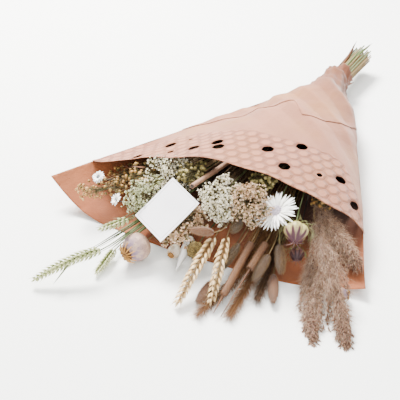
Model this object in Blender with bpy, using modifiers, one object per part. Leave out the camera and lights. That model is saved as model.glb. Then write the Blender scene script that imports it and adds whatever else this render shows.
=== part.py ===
"""A mixed bouquet of dried flowers lying in its folded kraft paper sleeve.

The bouquet lies along Y: the flower heads spill out of the sleeve's mouth at -Y and the cut
stems leave its gathered neck at +Y. The sleeve rests on the plane z = 0.
"""
import math
from collections import namedtuple

import bmesh
import bpy
from mathutils import Vector

MM = 0.001
GAP = 0.0003                    # clearance between pieces that touch
FRAME_SHIFT = (0.0038, -0.0036, 0.0)    # brings the origin under the middle of the bouquet

# ---- kraft paper sleeve -------------------------------------------------------------------
PAPER_THICKNESS = 0.0008
NECK_Y = 0.262                  # open end that the stems leave
SHOULDER_Y = 0.140              # where the flat cone starts to gather into the neck
NECK_HALF_WIDTH = 0.0185
SHOULDER_HALF_WIDTH = 0.061
CONE_FLARE = 0.475              # half width gained per metre from the shoulder to the mouth
SEAM_HEIGHT = 0.042             # side folds, where the back sheet meets the front sheet
NECK_SEAM_HEIGHT = 0.031
NECK_FLOOR_HEIGHT = 0.0125      # underside of the neck
NECK_TOP_HEIGHT = 0.0500
SHOULDER_TOP_HEIGHT = 0.074
MOUTH_TOP_HEIGHT = 0.110
MOUTH_Y = -0.150
SHOULDER_X = 0.005              # the sleeve bulges to the right before its neck leans left
NECK_X = -0.006
TENT_ARCH = (1.6, 1.3)          # the left half slopes like a tent, up to the round neck
DOME_ARCH = (2.2, 0.75)         # the right half is a dome
FLAT_SHARE = 0.55               # share of the back sheet's half width that lies flat
NECK_FLAT_SHARE = 0.10

FRONT_EDGE_Y = -0.151           # middle of the front sheet's curved edge
FRONT_EDGE_TILT = 0.022
FRONT_EDGE_SWEEP = 0.027        # how far that edge falls back at the side folds
BACK_EDGE_Y = -0.209
BACK_EDGE_TILT = 0.0153
BACK_EDGE_SWEEP = 0.0218
CORNER_Y = -0.172               # the right front corner sags from the side fold down to the ground
CORNER_SAG_START_Y = -0.060
CORNER_HEIGHT = 0.014
SHEET_COLUMNS = 16
SHEET_ROWS = 12

# ---- stems and their tie ------------------------------------------------------------------
TIE_Y = 0.205
STEM_END_Y = 0.360
BUNDLE_X = -0.006
BUNDLE_Z = 0.0312
COLUMN_PITCH = 0.00315
ROW_PITCH = 0.0035
FOOT_RADIUS = 0.00155           # every stem's radius in the tie, whatever its radius at the head
STEM_SPREAD = 1.30              # how much wider the bundle is at the cut ends
CUT_STAGGER = 0.012             # longest and shortest stem ends differ by this much
CUT_LENGTHS = 7                 # how many different cut lengths there are
CUT_SKIP = 5                    # neighbours are this many cut lengths apart
ROUTE_SHARES = (0.4, 0.75, 0.93)        # where a stem has points between the tie and its turn
TURN_START = 0.97               # share of the way at which the turn starts
TURN_PULL = 0.7                 # how far the turn's middle point is pulled in
TURN_REACH = 0.4                # and how far past the turn's corner it aims
TIE_COLUMNS = (3, 4, 5, 6, 7, 6, 5, 4, 3)
HEAD_LEAD = 0.010               # a stem turns into its head's direction over this length
TIE_WIDTH = 0.009
TIE_THICKNESS = 0.0012
BUNDLE_RADIUS = 0.0150
TIE_SIDES = 28
MERGE_DISTANCE = 0.00005        # joins the ends of the turned band

# ---- gift card ----------------------------------------------------------------------------
CARD_SIZE = (0.050, 0.065, 0.0006)
CARD_CENTRE = (-0.0340, -0.2160, 0.0665)
CARD_ACROSS = (0.92, -0.29, -0.27)      # direction of its short side
CARD_DOWN = (-0.48, -0.70, -0.53)       # direction of its long side, towards the mouth

# ---- head profiles: (share of the head's length, share of its girth) -----------------------
EAR = ((0.0, 0.45), (0.12, 0.9), (0.35, 1.0), (0.65, 0.95), (0.88, 0.7), (1.0, 0.25))
POD = ((0.0, 0.25), (0.08, 0.62), (0.28, 0.95), (0.5, 1.0), (0.7, 0.82), (0.84, 0.5), (0.9, 0.42),
       (1.0, 0.5))
TAIL = ((0.0, 0.35), (0.12, 0.8), (0.35, 1.0), (0.65, 0.9), (0.88, 0.55), (1.0, 0.15))
LONG_MACE = ((0.0, 0.6), (0.04, 1.0), (0.4, 1.0), (0.74, 0.95), (0.78, 0.35), (1.0, 0.2))
SHORT_MACE = ((0.0, 0.6), (0.04, 1.0), (0.2, 1.0), (0.36, 0.95), (0.40, 0.35), (1.0, 0.2))
PLUME = ((0.0, 0.35), (0.15, 0.75), (0.4, 1.0), (0.7, 0.8), (0.9, 0.45), (1.0, 0.12))
CLOUD = ((0.0, 0.25), (0.2, 0.75), (0.5, 1.0), (0.8, 0.85), (1.0, 0.35))
DAISY = ((0.0, 0.1), (0.12, 0.3), (0.45, 1.0), (0.65, 0.97), (0.85, 0.45), (1.0, 0.2))
STICK = ((0.0, 0.5), (0.2, 1.0), (0.6, 1.0), (1.0, 0.95))
BARE = ((0.0, 1.0), (1.0, 0.6))
ROUND_GIRTH = 0.007             # heads thicker than this get a finer cross-section
FINE_SECTION = 2
PLAIN_SECTION = 1

Plant = namedtuple("Plant", "name profile base tip girth stem colour bow")


def plant(name, profile, base, tip, girth, stem, colour, bow=(0, 0, 0)):
    """Describe a stem and its head; places and sizes come in millimetres."""
    return Plant(name, profile, Vector(base) * MM, Vector(tip) * MM, girth * MM, stem * MM, colour,
                 Vector(bow) * MM)


# ---- finishes: linear colour and roughness --------------------------------------------------
KRAFT = (0.74, 0.55, 0.45)
KRAFT_ROUGHNESS = 0.8
TWINE = (0.55, 0.42, 0.26)
TWINE_ROUGHNESS = 0.7
CARD_WHITE = (0.90, 0.89, 0.91)
CARD_ROUGHNESS = 0.6
PLANT_ROUGHNESS = 0.85
GREEN = (0.36, 0.40, 0.20)
STRAW = (0.72, 0.60, 0.36)
CREAM = (0.80, 0.74, 0.62)
WHITE = (0.86, 0.84, 0.78)
TAN = (0.52, 0.36, 0.19)
MAUVE = (0.56, 0.46, 0.42)
BROWN = (0.36, 0.22, 0.13)
PURPLE = (0.30, 0.20, 0.22)
OLIVE = (0.45, 0.40, 0.20)

PLANTS = (
    plant("green_ear_long", EAR, (-82, -290, 36), (-139, -352, 9), 4.6, 1.2, GREEN, (0, 0, 5)),
    plant("green_ear_short", EAR, (-86, -256, 11), (-84, -300, 7), 4.2, 1.2, GREEN),
    plant("green_ear_high", EAR, (-74, -240, 52), (-98, -268, 46), 4.0, 1.2, GREEN),
    plant("poppy_pod_large", POD, (-55, -231, 21), (-63, -269, 21), 17.0, 1.7, MAUVE),
    plant("poppy_pod_side", POD, (170, -197, 10), (198, -188, 10), 9.0, 1.5, MAUVE),
    plant("poppy_bud", POD, (-19, -218, 16), (-16, -240, 18), 8.0, 1.2, CREAM),
    plant("strawflower", DAISY, (82, -156, 68), (89, -168, 78), 22.0, 1.3, WHITE),
    plant("nigella_pod_pale", POD, (113, -163, 66), (124, -190, 58), 13.0, 1.2, STRAW),
    plant("nigella_pod_dark", POD, (120, -172, 36), (128, -190, 34), 8.0, 1.1, PURPLE),
    plant("wheat_ear_left", EAR, (30, -214, 46), (29, -300, 7), 6.0, 1.4, CREAM, (0, 0, 4)),
    plant("wheat_ear_right", EAR, (46, -212, 52), (63, -280, 9), 5.6, 1.4, CREAM, (0, 0, 4)),
    plant("bunny_tail_left", TAIL, (34, -222, 62), (8, -226, 58), 5.0, 0.9, TAN),
    plant("bunny_tail_ochre", TAIL, (60, -206, 44), (52, -236, 24), 6.0, 0.9, TAN),
    plant("bunny_tail_middle", TAIL, (96, -200, 38), (92, -227, 18), 6.2, 0.9, TAN),
    plant("bunny_tail_right", TAIL, (101, -182, 43), (114, -201, 20), 7.0, 0.9, TAN),
    plant("bunny_tail_low", TAIL, (104, -200, 10), (123, -240, 9), 7.0, 0.9, TAN),
    plant("bunny_tail_round", TAIL, (50, -184, 60), (49, -202, 58), 6.0, 0.9, TAN),
    plant("bunny_tail_front", TAIL, (47, -246, 10), (48, -282, 8), 6.5, 0.9, TAN),
    plant("cattail_long", LONG_MACE, (72, -198, 46), (73, -291, 8), 4.6, 1.6, BROWN),
    plant("cattail_short", SHORT_MACE, (86, -188, 44), (82, -290, 6), 4.4, 1.6, BROWN),
    plant("bristle_grass_left", PLUME, (66, -232, 6), (56, -304, 5), 4.0, 0.9, BROWN),
    plant("bristle_grass_right", PLUME, (84, -232, 6), (90, -288, 6), 4.5, 0.9, BROWN),
    plant("bristle_grass_dark", PLUME, (98, -212, 7), (105, -246, 7), 4.0, 0.9, BROWN),
    plant("reed_plume_long", PLUME, (118, -118, 46), (215, -248, 10), 12.0, 1.6, MAUVE, (0, 0, 6)),
    plant("reed_plume_short", PLUME, (128, -150, 22), (178, -252, 8), 8.5, 1.5, MAUVE),
    plant("reed_plume_side", PLUME, (108, -98, 54), (172, -140, 40), 7.5, 1.4, MAUVE),
    plant("white_spray_left", CLOUD, (-58, -138, 66), (-72, -180, 76), 13.0, 1.0, WHITE),
    plant("white_spray_middle", CLOUD, (14, -156, 72), (24, -196, 80), 14.0, 1.0, WHITE),
    plant("white_spray_right", CLOUD, (48, -158, 78), (62, -186, 80), 10.0, 1.0, WHITE),
    plant("white_spray_card", CLOUD, (-74, -176, 56), (-80, -212, 58), 13.0, 1.0, WHITE),
    plant("white_spray_low", CLOUD, (-14, -184, 40), (-24, -226, 48), 12.0, 1.0, WHITE),
    plant("flax_spray_outer", CLOUD, (-138, -172, 36), (-164, -206, 40), 9.0, 0.8, OLIVE),
    plant("flax_spray_upper", CLOUD, (-134, -116, 28), (-158, -148, 30), 8.0, 0.8, OLIVE),
    plant("flax_spray_inner", CLOUD, (-92, -140, 54), (-110, -174, 60), 10.0, 0.8, OLIVE),
    plant("flax_spray_middle", CLOUD, (-30, -146, 84), (-36, -170, 88), 8.0, 0.8, OLIVE),
    plant("flax_spray_right", CLOUD, (50, -112, 84), (52, -138, 88), 8.0, 0.8, OLIVE),
    plant("flax_spray_far", CLOUD, (110, -78, 54), (124, -98, 58), 8.0, 0.8, OLIVE),
    plant("papery_flower_outer", DAISY, (-158, -178, 46), (-164, -183, 52), 8.0, 0.8, WHITE),
    plant("papery_flower_inner", DAISY, (-112, -206, 44), (-116, -210, 50), 8.0, 0.8, WHITE),
    plant("scabious_head", POD, (6, -208, 24), (9, -230, 20), 8.5, 1.2, OLIVE),
    plant("reed_stick", STICK, (-14, -90, 72), (-14, -190, 92), 3.6, 1.7, STRAW),
    plant("pale_leaf", BARE, (-7, -204, 28), (-4, -246, 6), 2.4, 1.2, WHITE),
    plant("curled_leaf", EAR, (-116, -136, 54), (-136, -160, 57), 2.5, 0.8, BROWN),
)


def blend(start, end, share):
    """Return the value a share of the way from start to end, easing in and out."""
    share = min(max(share, 0.0), 1.0)
    return start + (end - start) * share * share * (3 - 2 * share)


def half_width(y):
    """Sleeve half width: a straight flare, gathered in between shoulder and neck."""
    if y <= SHOULDER_Y:
        return SHOULDER_HALF_WIDTH + CONE_FLARE * (SHOULDER_Y - y)
    share = (y - SHOULDER_Y) / (NECK_Y - SHOULDER_Y)
    return SHOULDER_HALF_WIDTH + (NECK_HALF_WIDTH - SHOULDER_HALF_WIDTH) * math.sin(share * math.pi / 2)


def gather(y):
    """Share of the gathering into the neck that has happened at y."""
    return (y - SHOULDER_Y) / (NECK_Y - SHOULDER_Y)


def seam_height(u, y):
    """Height of the side fold on the side that u lies on."""
    height = blend(SEAM_HEIGHT, NECK_SEAM_HEIGHT, gather(y))
    if u > 0:
        sag = (CORNER_SAG_START_Y - y) / (CORNER_SAG_START_Y - CORNER_Y)
        height = blend(height, CORNER_HEIGHT, sag)
    return height


def top_height(y):
    """Height of the front sheet's crest."""
    if y <= SHOULDER_Y:
        share = (y - MOUTH_Y) / (SHOULDER_Y - MOUTH_Y)
        return MOUTH_TOP_HEIGHT + (SHOULDER_TOP_HEIGHT - MOUTH_TOP_HEIGHT) * share
    return blend(SHOULDER_TOP_HEIGHT, NECK_TOP_HEIGHT, gather(y))


def centre_x(y):
    """Sideways place of the sleeve's middle."""
    if y <= SHOULDER_Y:
        return SHOULDER_X * max((y - MOUTH_Y) / (SHOULDER_Y - MOUTH_Y), 0.0)
    return blend(SHOULDER_X, NECK_X, gather(y))


def back_point(u, y):
    """Underside of the back sheet: flat on the ground in the middle, curled up at the folds."""
    flat = blend(FLAT_SHARE, NECK_FLAT_SHARE, gather(y))
    rise = max(abs(u) - flat, 0.0) / (1 - flat)
    floor = blend(0.0, NECK_FLOOR_HEIGHT, gather(y))
    return Vector((centre_x(y) + half_width(y) * u, y, floor + (seam_height(u, y) - floor) * rise ** 2))


def front_point(u, y):
    """Underside of the front sheet, arched between the two side folds."""
    foot = seam_height(u, y) + PAPER_THICKNESS + GAP
    spread, fullness = DOME_ARCH
    if u < 0:
        spread, fullness = (blend(tent, dome, gather(y)) for tent, dome in zip(TENT_ARCH, DOME_ARCH))
    arch = max(1 - abs(u) ** spread, 0.0) ** fullness
    return Vector((centre_x(y) + half_width(y) * u, y, foot + (top_height(y) - foot) * arch))


def front_edge(u):
    """Place along the sleeve of the front sheet's mouth edge."""
    return FRONT_EDGE_Y + FRONT_EDGE_TILT * u + FRONT_EDGE_SWEEP * u * u


def back_edge(u):
    """Place along the sleeve of the back sheet's mouth edge."""
    return BACK_EDGE_Y + BACK_EDGE_TILT * u + BACK_EDGE_SWEEP * u * u


def new_collection(name):
    """Make a collection in the scene."""
    collection = bpy.data.collections.new(name)
    bpy.context.scene.collection.children.link(collection)
    return collection


def material(name, colour, roughness):
    """Return a plain non-metallic finish."""
    finish = bpy.data.materials.new(name)
    finish.use_nodes = True
    shader = finish.node_tree.nodes["Principled BSDF"]
    shader.inputs["Base Color"].default_value = (*colour, 1.0)
    shader.inputs["Roughness"].default_value = roughness
    shader.inputs["Metallic"].default_value = 0.0
    return finish


def add_object(name, data, finish, collection):
    """Link a new object that follows the bouquet's own empty."""
    data.materials.append(finish)
    piece = bpy.data.objects.new(name, data)
    collection.objects.link(piece)
    piece.parent = collection.objects["bouquet"]
    return piece


def paper_sheet(name, place, edge, finish, collection):
    """Map a flat grid on the sleeve's surface between its curved edge and the neck."""
    sheet = bmesh.new()
    bmesh.ops.create_grid(sheet, x_segments=SHEET_COLUMNS, y_segments=SHEET_ROWS, size=1.0)
    for vertex in sheet.verts:
        u, share = vertex.co.x, (vertex.co.y + 1) / 2
        vertex.co = place(u, edge(u) + (NECK_Y - edge(u)) * share)
    data = bpy.data.meshes.new(name)
    sheet.to_mesh(data)
    sheet.free()
    data.shade_smooth()
    piece = add_object(name, data, finish, collection)
    shell = piece.modifiers.new("paper", "SOLIDIFY")
    shell.thickness = PAPER_THICKNESS
    shell.offset = 1.0
    return piece


def turned_band(name, radius, thickness, width, centre, finish, collection):
    """Turn a flat band around the bundle; its axis runs along Y."""
    data = bpy.data.meshes.new(name)
    outer = radius + thickness
    corners = ((outer, width / 2), (outer, -width / 2), (radius, -width / 2), (radius, width / 2))
    data.from_pydata([(x, 0.0, z) for x, z in corners], [(0, 1), (1, 2), (2, 3), (3, 0)], [])
    piece = add_object(name, data, finish, collection)
    piece.location = centre
    piece.rotation_euler = (math.pi / 2, 0.0, 0.0)
    screw = piece.modifiers.new("turn", "SCREW")
    screw.steps = screw.render_steps = TIE_SIDES
    screw.use_merge_vertices = True
    screw.merge_threshold = MERGE_DISTANCE
    return piece


def tie_slots(plants):
    """Give each stem its place in the tie, ordered by bearing so that no two stems cross."""
    def bearing(item):
        """Sideways direction of a stem as seen from the tie."""
        return (item.base.x - BUNDLE_X) / (TIE_Y - item.base.y)

    def slope(item):
        """Upward direction of a stem as seen from the tie."""
        return (item.base.z - BUNDLE_Z) / (TIE_Y - item.base.y)

    waiting = sorted(plants, key=bearing)
    slots = {}
    for column, count in enumerate(TIE_COLUMNS):
        members = sorted(waiting[:count], key=slope)
        waiting = waiting[count:]
        x = (column - (len(TIE_COLUMNS) - 1) / 2) * COLUMN_PITCH
        for row, item in enumerate(members):
            slots[item.name] = Vector((x, 0.0, (row - (len(members) - 1) / 2) * ROW_PITCH))
    return slots


def stem_route(item, slot, order):
    """Points from the cut end through the tie to the head, with the radius at each."""
    centre = Vector((BUNDLE_X, 0.0, BUNDLE_Z))
    cut = CUT_STAGGER * (order * CUT_SKIP % CUT_LENGTHS) / (CUT_LENGTHS - 1)
    end = centre + slot * STEM_SPREAD + Vector((0, STEM_END_Y - cut, 0))
    tied = centre + slot + Vector((0, TIE_Y, 0))
    turn = item.base - (item.tip - item.base).normalized() * HEAD_LEAD
    along = Vector((0, TIE_WIDTH, 0))
    points = [(end, FOOT_RADIUS), (tied + along, FOOT_RADIUS), (tied - along, FOOT_RADIUS)]
    for share in ROUTE_SHARES:
        radius = FOOT_RADIUS + (item.stem - FOOT_RADIUS) * share
        points.append((tied.lerp(turn, share), radius))
    straight = tied.lerp(turn, TURN_START)
    points.append((straight.lerp(turn.lerp(item.base, TURN_REACH), TURN_PULL), item.stem))
    for share, girth in item.profile:
        place = item.base.lerp(item.tip, share) + item.bow * 4 * share * (1 - share)
        points.append((place, item.girth * girth))
    return points


def stalk(item, slot, order, collection):
    """Make a stem and its head as one tube whose radius swells along the head."""
    points = stem_route(item, slot, order)
    data = bpy.data.curves.new(item.name, "CURVE")
    data.dimensions = "3D"
    data.bevel_depth = item.stem
    data.bevel_resolution = FINE_SECTION if item.girth > ROUND_GIRTH else PLAIN_SECTION
    data.use_fill_caps = True
    spline = data.splines.new("POLY")
    spline.points.add(len(points) - 1)
    for target, (place, radius) in zip(spline.points, points):
        target.co = (*place, 1.0)
        target.radius = radius / item.stem
    skin = material(item.name + "_skin", item.colour, PLANT_ROUGHNESS)
    return add_object(item.name, data, skin, collection)


def gift_card(collection):
    """Lay the blank card on the heads, its long side sloping down to the mouth."""
    across = Vector(CARD_ACROSS).normalized()
    face = across.cross(Vector(CARD_DOWN)).normalized() * -1
    down = across.cross(face).normalized()
    card = bmesh.new()
    bmesh.ops.create_cube(card, size=1.0)
    for vertex in card.verts:
        x, y, z = (value * size for value, size in zip(vertex.co, CARD_SIZE))
        vertex.co = across * x + down * y + face * z
    bmesh.ops.recalc_face_normals(card, faces=card.faces)
    data = bpy.data.meshes.new("gift_card")
    card.to_mesh(data)
    card.free()
    piece = add_object("gift_card", data, material("card_stock", CARD_WHITE, CARD_ROUGHNESS), collection)
    piece.location = CARD_CENTRE
    return piece


def build():
    """Clear the scene and make the sleeve, the tie, every stalk and the card."""
    for old in list(bpy.data.objects):
        bpy.data.objects.remove(old)
    parts = new_collection("dried_flower_bouquet")
    bouquet = bpy.data.objects.new("bouquet", None)
    bouquet.location = FRAME_SHIFT
    parts.objects.link(bouquet)
    kraft = material("kraft_paper", KRAFT, KRAFT_ROUGHNESS)
    paper_sheet("sleeve_back_sheet", back_point, back_edge, kraft, parts)
    paper_sheet("sleeve_front_sheet", front_point, front_edge, kraft, parts)
    twine = material("tie_band", TWINE, TWINE_ROUGHNESS)
    middle = (BUNDLE_X, TIE_Y, BUNDLE_Z)
    turned_band("stem_tie", BUNDLE_RADIUS, TIE_THICKNESS, TIE_WIDTH, middle, twine, parts)
    slots = tie_slots(PLANTS)
    for order, item in enumerate(PLANTS):
        stalk(item, slots[item.name], order, parts)
    gift_card(parts)


build()
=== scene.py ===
"""A mixed dried flower bouquet in a kraft paper sleeve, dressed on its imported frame."""

import logging
import math
from dataclasses import dataclass, field
from enum import Enum
from functools import partial
from typing import Any, Callable, Sequence

import bpy
import numpy as np
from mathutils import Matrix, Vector
from mathutils.geometry import delaunay_2d_cdt


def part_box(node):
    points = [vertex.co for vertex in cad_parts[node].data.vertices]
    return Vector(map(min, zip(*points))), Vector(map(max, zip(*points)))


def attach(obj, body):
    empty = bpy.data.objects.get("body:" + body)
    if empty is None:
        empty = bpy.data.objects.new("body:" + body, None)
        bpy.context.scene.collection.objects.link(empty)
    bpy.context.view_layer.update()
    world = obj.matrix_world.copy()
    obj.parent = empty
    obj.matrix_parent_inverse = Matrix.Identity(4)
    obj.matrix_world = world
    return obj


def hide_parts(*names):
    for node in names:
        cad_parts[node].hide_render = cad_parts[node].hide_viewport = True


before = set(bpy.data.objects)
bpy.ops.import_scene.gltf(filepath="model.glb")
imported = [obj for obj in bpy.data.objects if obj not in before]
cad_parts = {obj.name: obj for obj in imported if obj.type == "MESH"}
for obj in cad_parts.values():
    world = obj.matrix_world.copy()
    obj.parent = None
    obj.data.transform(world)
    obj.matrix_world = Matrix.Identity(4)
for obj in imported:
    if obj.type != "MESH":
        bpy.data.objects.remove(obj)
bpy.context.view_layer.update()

LOG = logging.getLogger("bouquet")
ROOT = "root"
UP = np.array((0.0, 0.0, 1.0))
GOLDEN_ANGLE = math.pi * (3.0 - math.sqrt(5.0))
FIRST_SEED = 11
Array = np.ndarray
Colour = tuple[float, float, float, float]


def paint(code: str) -> Colour:
    """Turn a six-digit colour code into linear red, green, blue and alpha.

    Args:
        code: The colour as six hexadecimal digits.

    Returns:
        The linear colour.
    """
    parts = [int(code[i:i + 2], 16) / 255.0 for i in (0, 2, 4)]
    linear = [p / 12.92 if p <= 0.04045 else ((p + 0.055) / 1.055) ** 2.4 for p in parts]
    return (linear[0], linear[1], linear[2], 1.0)


# ---- shader building ---------------------------------------------------------------------------


class Value:
    """A shader number, colour or vector whose operators add nodes."""

    def __init__(self, shader: "Shader", socket: bpy.types.NodeSocket) -> None:
        """Wrap a socket of a shader.

        Args:
            shader: The shader that the socket belongs to.
            socket: The output socket.
        """
        self.shader = shader
        self.socket = socket

    def maths(self, operation: str, *others: Any) -> "Value":
        """Add a Math node with this value first.

        Args:
            operation: The node's operation.
            others: The other numbers or values.

        Returns:
            The result.
        """
        return self.shader.maths(operation, self, *others)

    def __add__(self, other: Any) -> "Value":
        """Add."""
        return self.maths("ADD", other)

    def __radd__(self, other: Any) -> "Value":
        """Add with the number first."""
        return self.shader.maths("ADD", other, self)

    def __sub__(self, other: Any) -> "Value":
        """Subtract."""
        return self.maths("SUBTRACT", other)

    def __rsub__(self, other: Any) -> "Value":
        """Subtract from a number."""
        return self.shader.maths("SUBTRACT", other, self)

    def __mul__(self, other: Any) -> "Value":
        """Multiply."""
        return self.maths("MULTIPLY", other)

    def step(self, low: float, high: float) -> "Value":
        """Rise smoothly from 0 at low to 1 at high.

        Args:
            low: Where the rise starts.
            high: Where it ends.

        Returns:
            The eased value.
        """
        node = self.shader.node(
            "ShaderNodeMapRange",
            {"interpolation_type": "SMOOTHSTEP"},
            {0: self, 1: low, 2: high, 3: 0.0, 4: 1.0},
        )
        return Value(self.shader, node.outputs[0])


class Shader:
    """One material and the nodes that make it."""

    def __init__(self, name: str) -> None:
        """Start an empty material.

        Args:
            name: The material's name.
        """
        self.material = bpy.data.materials.new(name)
        self.material.use_nodes = True
        self.tree = self.material.node_tree
        self.tree.nodes.clear()

    def node(self, kind: str, settings: dict[str, Any], sockets: dict[Any, Any]) -> bpy.types.Node:
        """Add a node, set it up and plug its sockets.

        Args:
            kind: The node's type.
            settings: Its settings; "stops" holds a ramp's (place, colour) pairs.
            sockets: Numbers, colours or values by input name or index.

        Returns:
            The node.
        """
        made = self.tree.nodes.new(kind)
        for key, setting in settings.items():
            if key == "stops":
                elements = made.color_ramp.elements
                while len(elements) < len(setting):
                    elements.new(0.5)
                for element, (place, colour) in zip(elements, setting):
                    element.position = place
                    element.color = colour
            else:
                setattr(made, key, setting)
        for key, given in sockets.items():
            if isinstance(given, Value):
                self.tree.links.new(given.socket, made.inputs[key])
            else:
                made.inputs[key].default_value = given
        return made

    def maths(self, operation: str, *values: Any) -> Value:
        """Add a Math node.

        Args:
            operation: The node's operation.
            values: Its numbers or values in order.

        Returns:
            The result.
        """
        made = self.node(
            "ShaderNodeMath", {"operation": operation}, dict(enumerate(values))
        )
        return Value(self, made.outputs[0])

    def painted(self, name: str) -> Value:
        """Read a number painted on the mesh."""
        return Value(self, self.node("ShaderNodeAttribute", {"attribute_name": name}, {}).outputs["Fac"])

    def place(self) -> Value:
        """Read the place on the object in metres."""
        return Value(self, self.node("ShaderNodeTexCoord", {}, {}).outputs["Object"])

    def stretched(self, scale: tuple[float, float, float]) -> Value:
        """Read the place scaled along each axis."""
        made = self.node("ShaderNodeVectorMath", {"operation": "MULTIPLY"}, {0: self.place(), 1: scale})
        return Value(self, made.outputs[0])

    def noise(self, scale: float, detail: float = 3.0, at: Value | None = None) -> Value:
        """Add cloudy noise around 0.5.

        Args:
            scale: Patches per metre, or per unit of the given place.
            detail: Number of finer layers.
            at: The place to read, the object's own by default.

        Returns:
            The noise.
        """
        made = self.node(
            "ShaderNodeTexNoise", {}, {"Vector": at or self.place(), "Scale": scale, "Detail": detail}
        )
        return Value(self, made.outputs[0])

    def mix(self, share: Any, first: Any, second: Any) -> Value:
        """Mix two colours.

        Args:
            share: How much of the second colour.
            first: The first colour, or its code.
            second: The second colour, or its code.

        Returns:
            The mixed colour.
        """
        first, second = (paint(end) if isinstance(end, str) else end for end in (first, second))
        made = self.node(
            "ShaderNodeMix", {"data_type": "RGBA", "clamp_factor": True}, {0: share, 6: first, 7: second})
        return Value(self, made.outputs[2])

    def ramp(self, share: Value, stops: Sequence[tuple[float, str]]) -> Value:
        """Run a number through a colour ramp.

        Args:
            share: The number.
            stops: The ramp's places and colour codes.

        Returns:
            The colour.
        """
        colours = [(place, paint(code)) for place, code in stops]
        made = self.node("ShaderNodeValToRGB", {"stops": colours}, {0: share})
        return Value(self, made.outputs[0])

    def surface(
        self, colour: Any, roughness: Any, height: Value | None = None, depth: float = 0.0,
        fixed: dict[str, Any] | None = None,
    ) -> bpy.types.Material:
        """Close the material with its main shader.

        Args:
            colour: Base colour.
            roughness: Roughness number or value.
            height: Relief that feeds a bump, if any.
            depth: The relief's depth in metres.
            fixed: Other shader sockets set to plain numbers.

        Returns:
            The finished material.
        """
        sockets: dict[Any, Any] = {"Base Color": colour, "Roughness": roughness}
        sockets.update(fixed or {})
        if height is not None:
            bump = self.node("ShaderNodeBump", {}, {"Strength": 1.0, "Distance": depth, "Height": height})
            sockets["Normal"] = Value(self, bump.outputs[0])
        main = self.node("ShaderNodeBsdfPrincipled", {}, sockets)
        out = self.node("ShaderNodeOutputMaterial", {}, {})
        self.tree.links.new(main.outputs[0], out.inputs[0])
        return self.material


# ---- finishes ----------------------------------------------------------------------------------


@dataclass(frozen=True)
class PlantFinish:
    """A dried plant surface coloured along each small part and varied from part to part."""

    name: str
    along: tuple[tuple[float, str], ...]
    low: str
    high: str
    low_share: float = 0.55
    high_share: float = 0.45
    roughness: float = 0.75
    sheen: float = 0.0
    grain: float = 0.0

    def make(self) -> bpy.types.Material:
        """Build the material.

        Returns:
            The material.
        """
        shader = Shader(self.name)
        tint = shader.painted("tint")
        colour = shader.ramp(shader.painted("along"), self.along)
        colour = shader.mix((0.5 - tint) * 2.0 * self.low_share, colour, self.low)
        colour = shader.mix((tint - 0.5) * 2.0 * self.high_share, colour, self.high)
        rough = self.roughness + (tint - 0.5) * 0.16
        height, depth = None, 0.0
        if self.grain > 0.0:
            height = shader.noise(900.0, 3.0, shader.stretched((1.0, 0.22, 1.0)))
            depth = self.grain
        fixed: dict[str, Any] = {"Specular IOR Level": 0.3}
        if self.sheen > 0.0:
            fixed.update({"Sheen Weight": self.sheen, "Sheen Roughness": 0.5})
        return shader.surface(colour, rough, height, depth, fixed)


@dataclass(frozen=True)
class MottledFinish:
    """A smooth dried surface, such as a pod's wall, with soft blotches, specks and ribs."""

    name: str
    along: tuple[tuple[float, str], ...]
    blotch: str
    speck: str
    roughness: float = 0.6
    relief: float = 0.00025
    rib_colour: str = ""

    def make(self) -> bpy.types.Material:
        """Build the material.

        Returns:
            The material.
        """
        shader = Shader(self.name)
        along, tint = shader.painted("along"), shader.painted("tint")
        colour = shader.ramp(along, self.along)
        cloud = shader.noise(150.0, 5.0)
        fine = shader.noise(620.0, 4.0)
        colour = shader.mix(cloud.step(0.46, 0.60) * 0.8, colour, self.blotch)
        colour = shader.mix(fine.step(0.56, 0.70) * 0.7, colour, self.speck)
        if self.rib_colour:
            colour = shader.mix(tint.step(0.5, 0.72), colour, self.rib_colour)
        rough = self.roughness + (cloud - 0.5) * 0.3
        height = cloud * 0.7 + fine * 0.3
        return shader.surface(colour, rough, height, self.relief, {"Specular IOR Level": 0.35})


@dataclass(frozen=True)
class FibreFinish:
    """A stem or reed with fine streaks along its length."""

    name: str
    along: tuple[tuple[float, str], ...]
    streak: str
    streak_share: float = 0.6
    roughness: float = 0.62
    relief: float = 0.00018
    stretch: tuple[float, float, float] = (1.0, 0.07, 1.0)

    def make(self) -> bpy.types.Material:
        """Build the material.

        Returns:
            The material.
        """
        shader = Shader(self.name)
        along, tint = shader.painted("along"), shader.painted("tint")
        colour = shader.ramp(along, self.along)
        streaks = shader.noise(1300.0, 2.0, shader.stretched(self.stretch))
        patches = shader.noise(70.0, 3.0)
        colour = shader.mix(streaks.step(0.42, 0.66) * self.streak_share, colour, self.streak)
        colour = shader.mix(patches.step(0.5, 0.7) * 0.35 + (0.5 - tint) * 0.5, colour, self.streak)
        return shader.surface(
            colour, self.roughness + (streaks - 0.5) * 0.25, streaks, self.relief, {"Specular IOR Level": 0.4}
        )


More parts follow.
